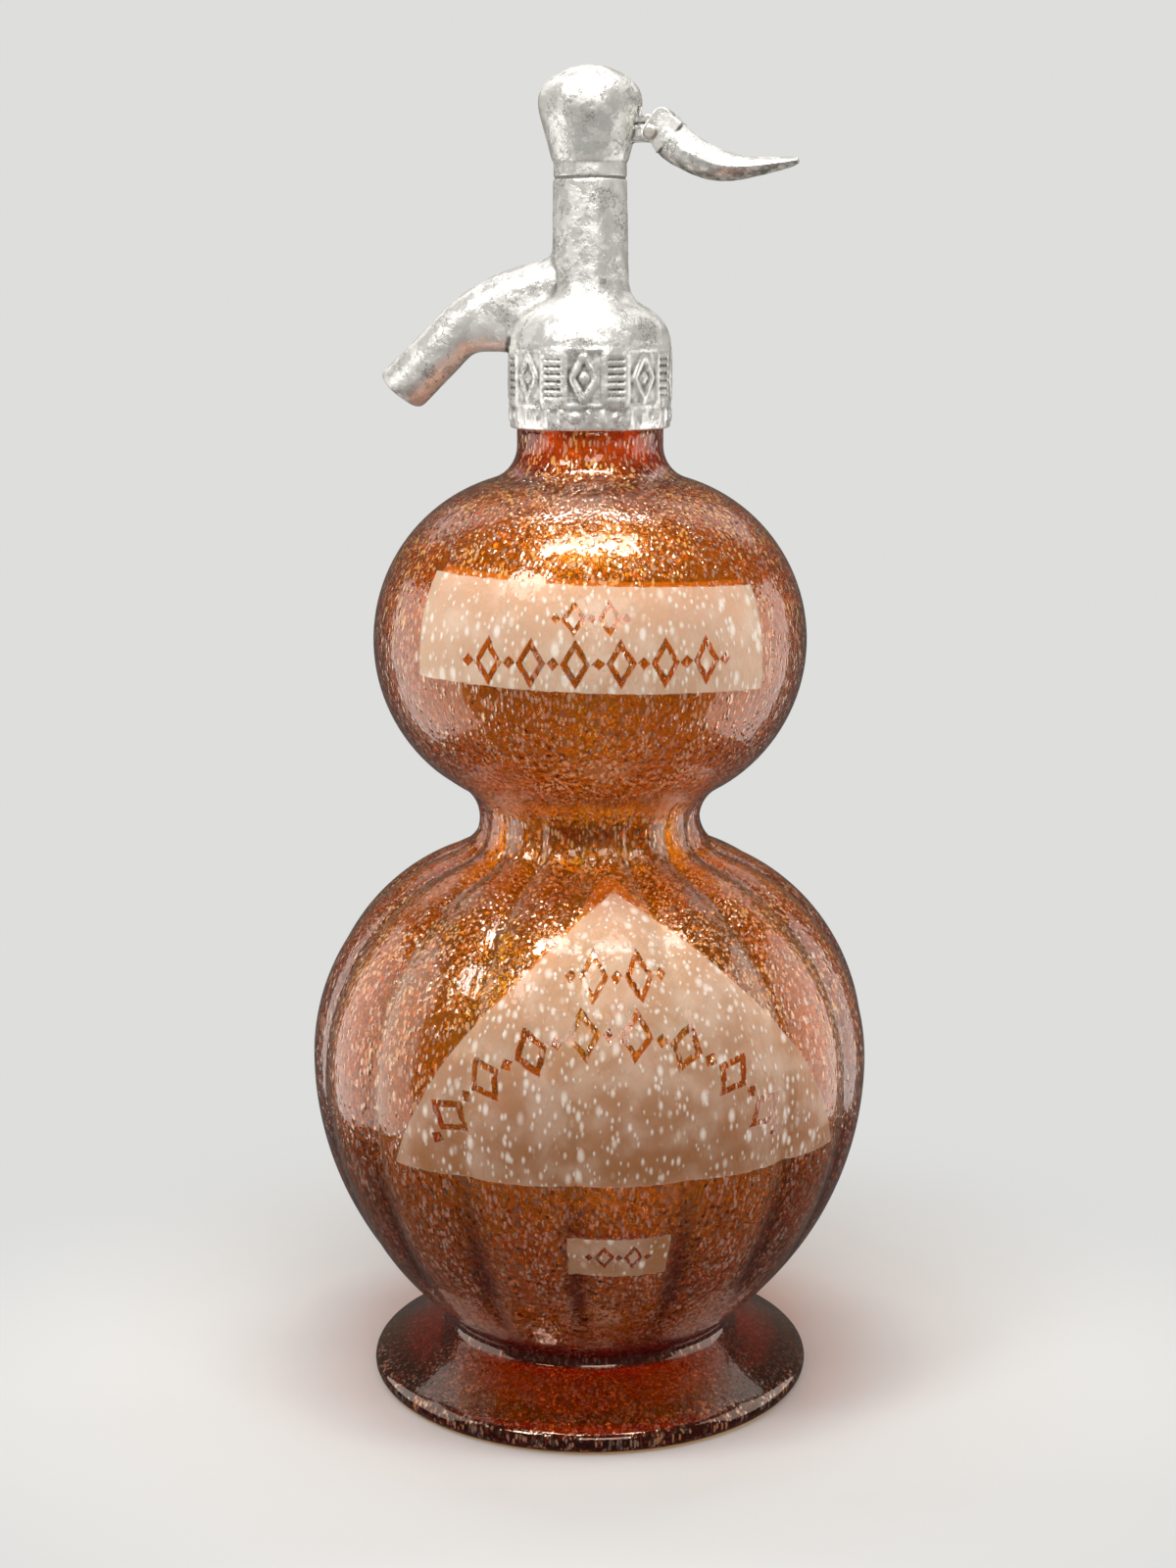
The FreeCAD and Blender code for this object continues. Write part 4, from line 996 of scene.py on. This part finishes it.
# ================================================================ castings
@dataclass
class Frieze:
    """Raised ornament round the collar: hatched blocks and lozenges between two bead lines.

    Sizes are in millimetres. Every bar is a small chamfered block, sunk a little into the wall.
    """

    wall_radius: float = 21.0
    relief: float = 0.5
    sunk: float = 0.6
    chamfer: float = 0.14
    bottom: float = 268.0
    top: float = 280.6
    cells: int = 16
    first_cell: float = 0.3         # how far the first cell stands from +X, as a share of a cell
    bar: float = 1.15               # width of every other bar of the main band
    hatch: float = 0.7              # height of a level bar inside a hatched cell
    hatch_rows: int = 7
    hatch_inset: float = 0.6
    hatch_share: float = 0.66       # of the cell's width
    upright_share: float = 0.36     # of the cell's width, from its middle to an upright
    lozenge_half_wide: float = 3.1
    lozenge_inset: float = 0.4
    stud: float = 1.7
    small_bottom: float = 262.9
    small_top: float = 266.0
    small_marks: int = 36
    small_bar: float = 0.75
    small_stud: float = 1.5
    bead: float = 0.38
    bead_over: float = 0.75
    bead_under: float = 0.85

    def bar_at(self, turn_deg: float, z: float, width: float, height: float, lean_deg: float = 0.0
               ) -> Object:
        """One chamfered bar on the wall.

        Args:
            turn_deg: angle round the collar from +X.
            z: height of the bar's middle.
            width: its length round the collar.
            height: its height.
            lean_deg: how far it leans in the wall's plane.

        Returns:
            The bar.
        """
        deselect()
        bpy.ops.mesh.primitive_cube_add(size=1 * MM)
        bar = bpy.context.object
        bar.scale = (self.sunk + self.relief, width, height)
        bake_place(bar)
        with whole_mesh():
            bpy.ops.mesh.bevel(offset=self.chamfer * MM, segments=1)
        middle = self.wall_radius + (self.relief - self.sunk) / 2
        bar.data.transform(
            Matrix.Rotation(math.radians(turn_deg), 4, "Z")
            @ Matrix.Translation((middle * MM, 0, z * MM))
            @ Matrix.Rotation(math.radians(lean_deg), 4, "X")
        )
        return bar

    def hatched_cell(self, turn_deg: float) -> list[Object]:
        """A frame filled with level bars."""
        cell = 2 * math.pi * self.wall_radius / self.cells
        tall = self.top - self.bottom
        middle = (self.top + self.bottom) / 2
        side = math.degrees((cell * self.upright_share) / self.wall_radius)
        bars = [self.bar_at(turn_deg + sign * side, middle, self.bar, tall) for sign in (-1, 1)]
        last = self.hatch_rows - 1
        for row in range(self.hatch_rows):
            z = self.bottom + self.hatch_inset + (tall - 2 * self.hatch_inset) * row / last
            thick = self.hatch if 0 < row < last else self.bar
            bars.append(self.bar_at(turn_deg, z, cell * self.hatch_share, thick))
        return bars

    def lozenge_cell(self, turn_deg: float) -> list[Object]:
        """Four leaning bars round a stud."""
        middle = (self.top + self.bottom) / 2
        half_tall = (self.top - self.bottom) / 2 - self.lozenge_inset
        half_wide = self.lozenge_half_wide
        lean = math.degrees(math.atan2(half_wide, half_tall))
        reach = math.hypot(half_wide, half_tall)
        bars = []
        for side in (-1, 1):
            turn = turn_deg + math.degrees(side * half_wide / 2 / self.wall_radius)
            for up in (-1, 1):
                z = middle + up * half_tall / 2
                bars.append(self.bar_at(turn, z, self.bar, reach, side * up * lean))
        bars.append(self.bar_at(turn_deg, middle, self.stud, self.stud, 45.0))
        return bars

    def small_row(self) -> list[Object]:
        """Row of uprights and studs under the main band."""
        middle = (self.small_bottom + self.small_top) / 2
        tall = self.small_top - self.small_bottom
        bars = []
        for index in range(self.small_marks):
            turn = 360 * index / self.small_marks
            if index % 3:
                bars.append(self.bar_at(turn, middle, self.small_bar, tall))
            else:
                bars.append(self.bar_at(turn, middle, self.small_stud, self.small_stud, 45.0))
        return bars

    def beads(self) -> list[Object]:
        """Round bead lines above and below the main band."""
        made = []
        for z in (self.top + self.bead_over, self.bottom - self.bead_under):
            deselect()
            bpy.ops.mesh.primitive_torus_add(
                major_radius=self.wall_radius * MM, minor_radius=self.bead * MM,
                major_segments=96, minor_segments=10, location=(0, 0, z * MM))
            bead = bpy.context.object
            bake_place(bead)
            made.append(bead)
        return made

    def build(self) -> list[Object]:
        """Builds every bar and bead, as loose objects that are joined to the casting."""
        made = self.beads() + self.small_row()
        for index in range(self.cells):
            turn = 360 * (index + self.first_cell) / self.cells
            made += self.hatched_cell(turn) if index % 2 else self.lozenge_cell(turn)
        return made


@dataclass
class Casting:
    """A cast piece that stands for a node: the node's shape with cast edges, ornament and wear.

    Sizes are in millimetres.
    """

    node: str
    name: str
    body: Body
    voxel: float
    wear_depth: float
    wear_size: float
    blend: Optional[Weight] = None      # where the casting runs together
    blend_rounds: int = 140
    soften_rounds: int = 2
    grain_depth_share: float = 0.4      # the casting's grain, as shares of its knocks
    grain_size_share: float = 0.25
    hollow_rounds: int = 10
    hollow_depth: float = 0.22

    def build(self, material: Material, extras: Sequence[Object] = ()
              ) -> Object:
        """Joins the extras to a copy of the node, remeshes the whole and wears its surface.

        Args:
            material: the casting's finish.
            extras: raised ornament that is cast with it.

        Returns:
            The piece.
        """
        piece = copy_of_node(self.node, self.name)
        if extras:
            pick(piece)
            for extra in extras:
                extra.select_set(True)
            bpy.ops.object.join()
        finish_modifier(piece, "REMESH", mode="VOXEL", voxel_size=self.voxel * MM, use_smooth_shade=True)
        finish_modifier(piece, "SMOOTH", factor=0.5, iterations=self.soften_rounds)
        if self.blend:
            weigh(piece, "blend", self.blend)
            finish_modifier(piece, "SMOOTH", factor=0.5, iterations=self.blend_rounds, vertex_group="blend")
            piece.vertex_groups.clear()
        wear_surface(piece, self.wear_depth, self.wear_size, self.name + "_knocks")
        wear_surface(piece, self.wear_depth * self.grain_depth_share,
                     self.wear_size * self.grain_size_share, self.name + "_grain")
        note_hollows(piece, self.hollow_rounds, self.hollow_depth)
        return dress(piece, material, self.body, [self.node])


# ================================================================ stage
def around(azimuth_deg: float, distance: float, height: float) -> Vector:
    """Place at a distance from the bottle's axis, its azimuth counted from the front towards +X."""
    turn = math.radians(azimuth_deg)
    return Vector((distance * math.sin(turn), -distance * math.cos(turn), height))


@dataclass(frozen=True)
class SoftBox:
    """An evenly lit box that faces the bottle's axis. Metres."""

    name: str
    azimuth_deg: float      # direction from the bottle, counted from the camera to its right
    distance: float         # from the bottle's axis
    height: float           # of the box's middle
    aim_height: float       # on the axis, where the box faces
    width: float
    tall: float
    radiance: float         # how bright its face is, where 1 is white

    def build(self, camera_azimuth_deg: float) -> None:
        """Adds the lamp."""
        data = bpy.data.lights.new(self.name, "AREA")
        data.shape = "RECTANGLE"
        data.size = self.width
        data.size_y = self.tall
        data.energy = self.radiance * self.width * self.tall * math.pi
        lamp = put(self.name, data)
        lamp.location = around(self.azimuth_deg + camera_azimuth_deg, self.distance, self.height)
        away = lamp.location - Vector((0, 0, self.aim_height))
        lamp.rotation_euler = away.to_track_quat("Z", "Y").to_euler()
        lamp.visible_camera = False


LAMPS = (
    SoftBox("left_wall", -91, 0.236, 0.145, 0.145, 0.23, 0.29, 1.35),
    SoftBox("right_wall", 91, 0.236, 0.145, 0.145, 0.23, 0.29, 1.35),
    SoftBox("rear_left_box", -138, 0.42, 0.58, 0.1, 0.20, 0.36, 0.8),
    SoftBox("rear_right_box", 138, 0.42, 0.58, 0.1, 0.20, 0.36, 0.8),
    SoftBox("front_strip", 0, 0.20, 0.80, 0.0, 0.46, 0.065, 20.0),
    SoftBox("rear_strip", 180, 0.10, 0.80, 0.0, 0.40, 0.022, 36.0),
    SoftBox("front_left_box", -42, 0.47, 0.62, 0.12, 0.15, 0.18, 14.0),
    SoftBox("front_fill", 8, 0.90, 0.68, 0.2, 0.46, 0.30, 4.6),
    SoftBox("front_low", 4, 0.18, 0.95, 0.2, 0.50, 0.12, 11.0),
)


@dataclass
class Studio:
    """Pale floor, lamps and the camera. Metres."""

    distance: float = 0.6487
    camera_height: float = 0.294
    azimuth_deg: float = 11.0
    pitch_deg: float = 11.2
    yaw_deg: float = 0.05
    lens_mm: float = 56.25
    floor_size: float = 12.0
    paper: str = "#D8D8D5"
    backdrop: str = "#DEDEDC"
    fade: Span = (0.075, 0.23)      # distances over which the floor fades into the backdrop
    behind_glass: float = 1.2       # backdrop seen through the glass, as a share of its tone
    mirrored: float = 0.17          # the room as the glass and the tin mirror it
    floor_mirrored: float = 0.05
    floor_hidden: float = 0.92      # share of the floor that the glass and the tin don't mirror
    room: str = "#D0C2B0"
    ambient: float = 0.10

    def camera(self) -> None:
        """Adds the camera."""
        data = bpy.data.cameras.new("camera")
        data.lens = self.lens_mm
        data.sensor_width = 36.0
        data.clip_start = 0.01
        camera = put("camera", data)
        camera.location = around(self.azimuth_deg, self.distance, self.camera_height)
        camera.rotation_euler = (
            math.radians(90 - self.pitch_deg), 0, math.radians(self.azimuth_deg + self.yaw_deg),
        )
        bpy.context.scene.camera = camera

    def floor(self) -> None:
        """Adds the floor, which fades into the backdrop's tone away from the bottle."""
        deselect()
        bpy.ops.mesh.primitive_plane_add(size=self.floor_size)
        floor = bpy.context.object
        floor.name = "floor"
        skin = Skin("Pale_paper_floor")
        away = add(skin.tree, "ShaderNodeVectorMath", {0: skin.place}, operation="LENGTH").outputs["Value"]
        paper = add(skin.tree, "ShaderNodeBsdfPrincipled", {
            "Base Color": colour(self.paper), "Roughness": 0.7, "Specular IOR Level": 0.2,
        })
        far = add(skin.tree, "ShaderNodeEmission", {"Color": colour(self.backdrop), "Strength": 1.0})
        seen = add(skin.tree, "ShaderNodeMixShader", {
            0: Field(away).step(*self.fade), 1: paper.outputs[0], 2: far.outputs[0],
        })
        dim = add(skin.tree, "ShaderNodeEmission", {
            "Color": colour(self.room), "Strength": self.floor_mirrored,
        })
        glossy = Field(add(skin.tree, "ShaderNodeLightPath").outputs["Is Glossy Ray"])
        surface = add(skin.tree, "ShaderNodeMixShader", {
            0: glossy * self.floor_hidden, 1: seen.outputs[0], 2: dim.outputs[0],
        })
        floor.data.materials.append(skin.finished(surface))

    def world(self) -> None:
        """Backdrop's tone for what is seen, a dimmer room for what the glass and the tin mirror."""
        world = bpy.data.worlds.new("studio")
        bpy.context.scene.world = world
        world.use_nodes = True
        tree = world.node_tree
        tree.nodes.clear()
        path = add(tree, "ShaderNodeLightPath").outputs
        glossy = Field(path["Is Glossy Ray"])
        through = Field(path["Is Transmission Ray"]) * self.behind_glass
        strength = Field(path["Is Camera Ray"]).at_least(through)
        strength = strength.at_least(glossy * self.mirrored).at_least(self.ambient)
        sky = add(tree, "ShaderNodeBackground", {
            "Color": glossy.between(self.backdrop, self.room), "Strength": strength,
        })
        add(tree, "ShaderNodeOutputWorld", {"Surface": sky.outputs[0]})

    def build(self) -> None:
        """Adds everything."""
        self.camera()
        self.floor()
        self.world()
        for lamp in LAMPS:
            lamp.build(self.azimuth_deg)
        bpy.context.scene.view_settings.view_transform = "Standard"


# ================================================================ whole siphon
PANELS = (
    EtchedPanel(middle_deg=11.4, bottom_mm=199.4, top_mm=225.3, half_widths_deg=(48.5, 48.5, 48.5),
                tilt_mm=3.4),
    EtchedPanel(middle_deg=19.0, bottom_mm=78.6, top_mm=145.4,
                half_widths_deg=(49.6, 46.0, 42.0, 38.0, 32.5, 25.0, 16.5, 1.0)),
    EtchedPanel(middle_deg=17.0, bottom_mm=52.0, top_mm=63.4, half_widths_deg=(10.7, 10.7, 10.7)),
)


MARKS = (
    MarkRow(middle_deg=11.4, level_mm=217.6, tall_mm=6.6, pitch_mm=4.4, marks=2, mm_per_deg=0.98,
            stroke_mm=1.2),
    MarkRow(middle_deg=13.0, level_mm=206.6, tall_mm=9.6, pitch_mm=5.6, marks=6, mm_per_deg=1.0,
            stroke_mm=1.5),
    MarkRow(middle_deg=17.0, level_mm=129.0, tall_mm=9.4, pitch_mm=6.0, marks=2, mm_per_deg=1.14,
            stroke_mm=1.4),
    MarkRow(middle_deg=15.0, level_mm=116.5, tall_mm=10.0, pitch_mm=7.0, marks=8, mm_per_deg=1.3,
            stroke_mm=1.7, arch_mm=50.0),
    MarkRow(middle_deg=17.0, level_mm=57.8, tall_mm=5.6, pitch_mm=3.6, marks=2, mm_per_deg=1.16,
            stroke_mm=1.0),
)


@dataclass(frozen=True)
class SpoutBlend:
    """Where the spout runs into the column and the collar.

    Each span goes from no smoothing to full smoothing, in millimetres.
    """

    column_x: Span = (-8.0, -11.0)
    column_low_z: Span = (284.0, 287.0)
    column_high_z: Span = (316.0, 312.0)
    spout_start_x: Span = (-22.5, -24.0)
    spout_end_x: Span = (-52.0, -47.0)

    def share(self, place: Vector, normal: Vector) -> float:
        """Share of smoothing at a place."""
        x = place.x / MM
        z = place.z / MM
        column = climb(x, self.column_x) * climb(z, self.column_low_z) * climb(z, self.column_high_z)
        return max(column, climb(x, self.spout_start_x) * climb(x, self.spout_end_x))


def build_spring(material: Material) -> Object:
    """Copies the return spring into a piece of its own.

    Args:
        material: the wire's finish.

    Returns:
        The spring's own piece, in the node's place.
    """
    piece = copy_of_node("return_spring", "return_spring_coils")
    piece.data.materials.append(material)
    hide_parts("return_spring")
    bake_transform(piece)
    log.info("%s: %d faces", piece.name, len(piece.data.polygons))
    return piece


def dress_inner_parts() -> None:
    """Gives the carried-over nodes their finishes, and the spring its own piece."""
    brass = TurnedMetal("Brass_turned", "#B8924A", 0.3).material()
    steel = TurnedMetal("Steel_wire_drawn", "#A7A6A2", 0.28).material()
    rubber = DullSolid("Rubber_moulded_black", "#171615", "#2E2B28", 0.75).material()
    tinned = TurnedMetal("Steel_pin_tinned", "#D8D2C8", 0.38).material()
    fibre = DullSolid("Fibre_washer_pressed", "#7E7970", "#A09B92", 0.85).material()
    tube = ClearGlass().material()
    finishes = {
        brass: ("neck_ring_front", "neck_ring_rear", "tube_nut", "valve_seat", "plunger_stem",
                "washer_screw", "stem_guide", "packing_nut", "lift_collar", "collar_locknut"),
        rubber: ("lip_gasket", "tube_bush", "valve_washer", "stem_packing"),
        tinned: ("lever_pin",),
        fibre: ("cap_washer",),
        tube: ("dip_tube",),
    }
    for material, names in finishes.items():
        for name in names:
            for slot in NODES[name].material_slots:
                slot.material = material
            log.info("%s: %s", name, material.name)
    build_spring(steel)


def main() -> None:
    """Builds the siphon's looks around the frame."""
    logging.basicConfig(level=logging.INFO, format="%(name)s %(message)s")
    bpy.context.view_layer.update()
    Studio().build()
    bottle = Bottle()
    glass = AmberGlass("Amber_soda_lime_glass_blown_seeded", PANELS, MARKS, bottle.flutes,
                       bottle.flute_turn_deg)
    bottle.build(glass.material())
    head = Casting("head_body", "head_casting", Body.SIPHON, voxel=0.475, wear_depth=0.22, wear_size=7.0,
                   blend=SpoutBlend().share)
    head.build(CastTin("Tin_alloy_cast_head", mouth_stain_mm=-44.0, grime_top_mm=283.0,
                       chip_mm=(5.1, -8.8, 298.3)).material(), Frieze().build())
    cap = Casting("cap", "cap_casting", Body.SIPHON, voxel=0.3, wear_depth=0.2, wear_size=6.0)
    cap.build(CastTin("Tin_alloy_cast_cap").material())
    lever = Casting("lever", "lever_casting", Body.LEVER, voxel=0.25, wear_depth=0.15, wear_size=5.0)
    # the lever's underside gets a dark grey: mostly painted shade, with some stain
    lever.build(CastTin("Tin_alloy_cast_lever", under_shade_and_stain=0.8, stain_and_under_shade="#5E564E").material())
    dress_inner_parts()


if __name__ == "__main__":
    main()
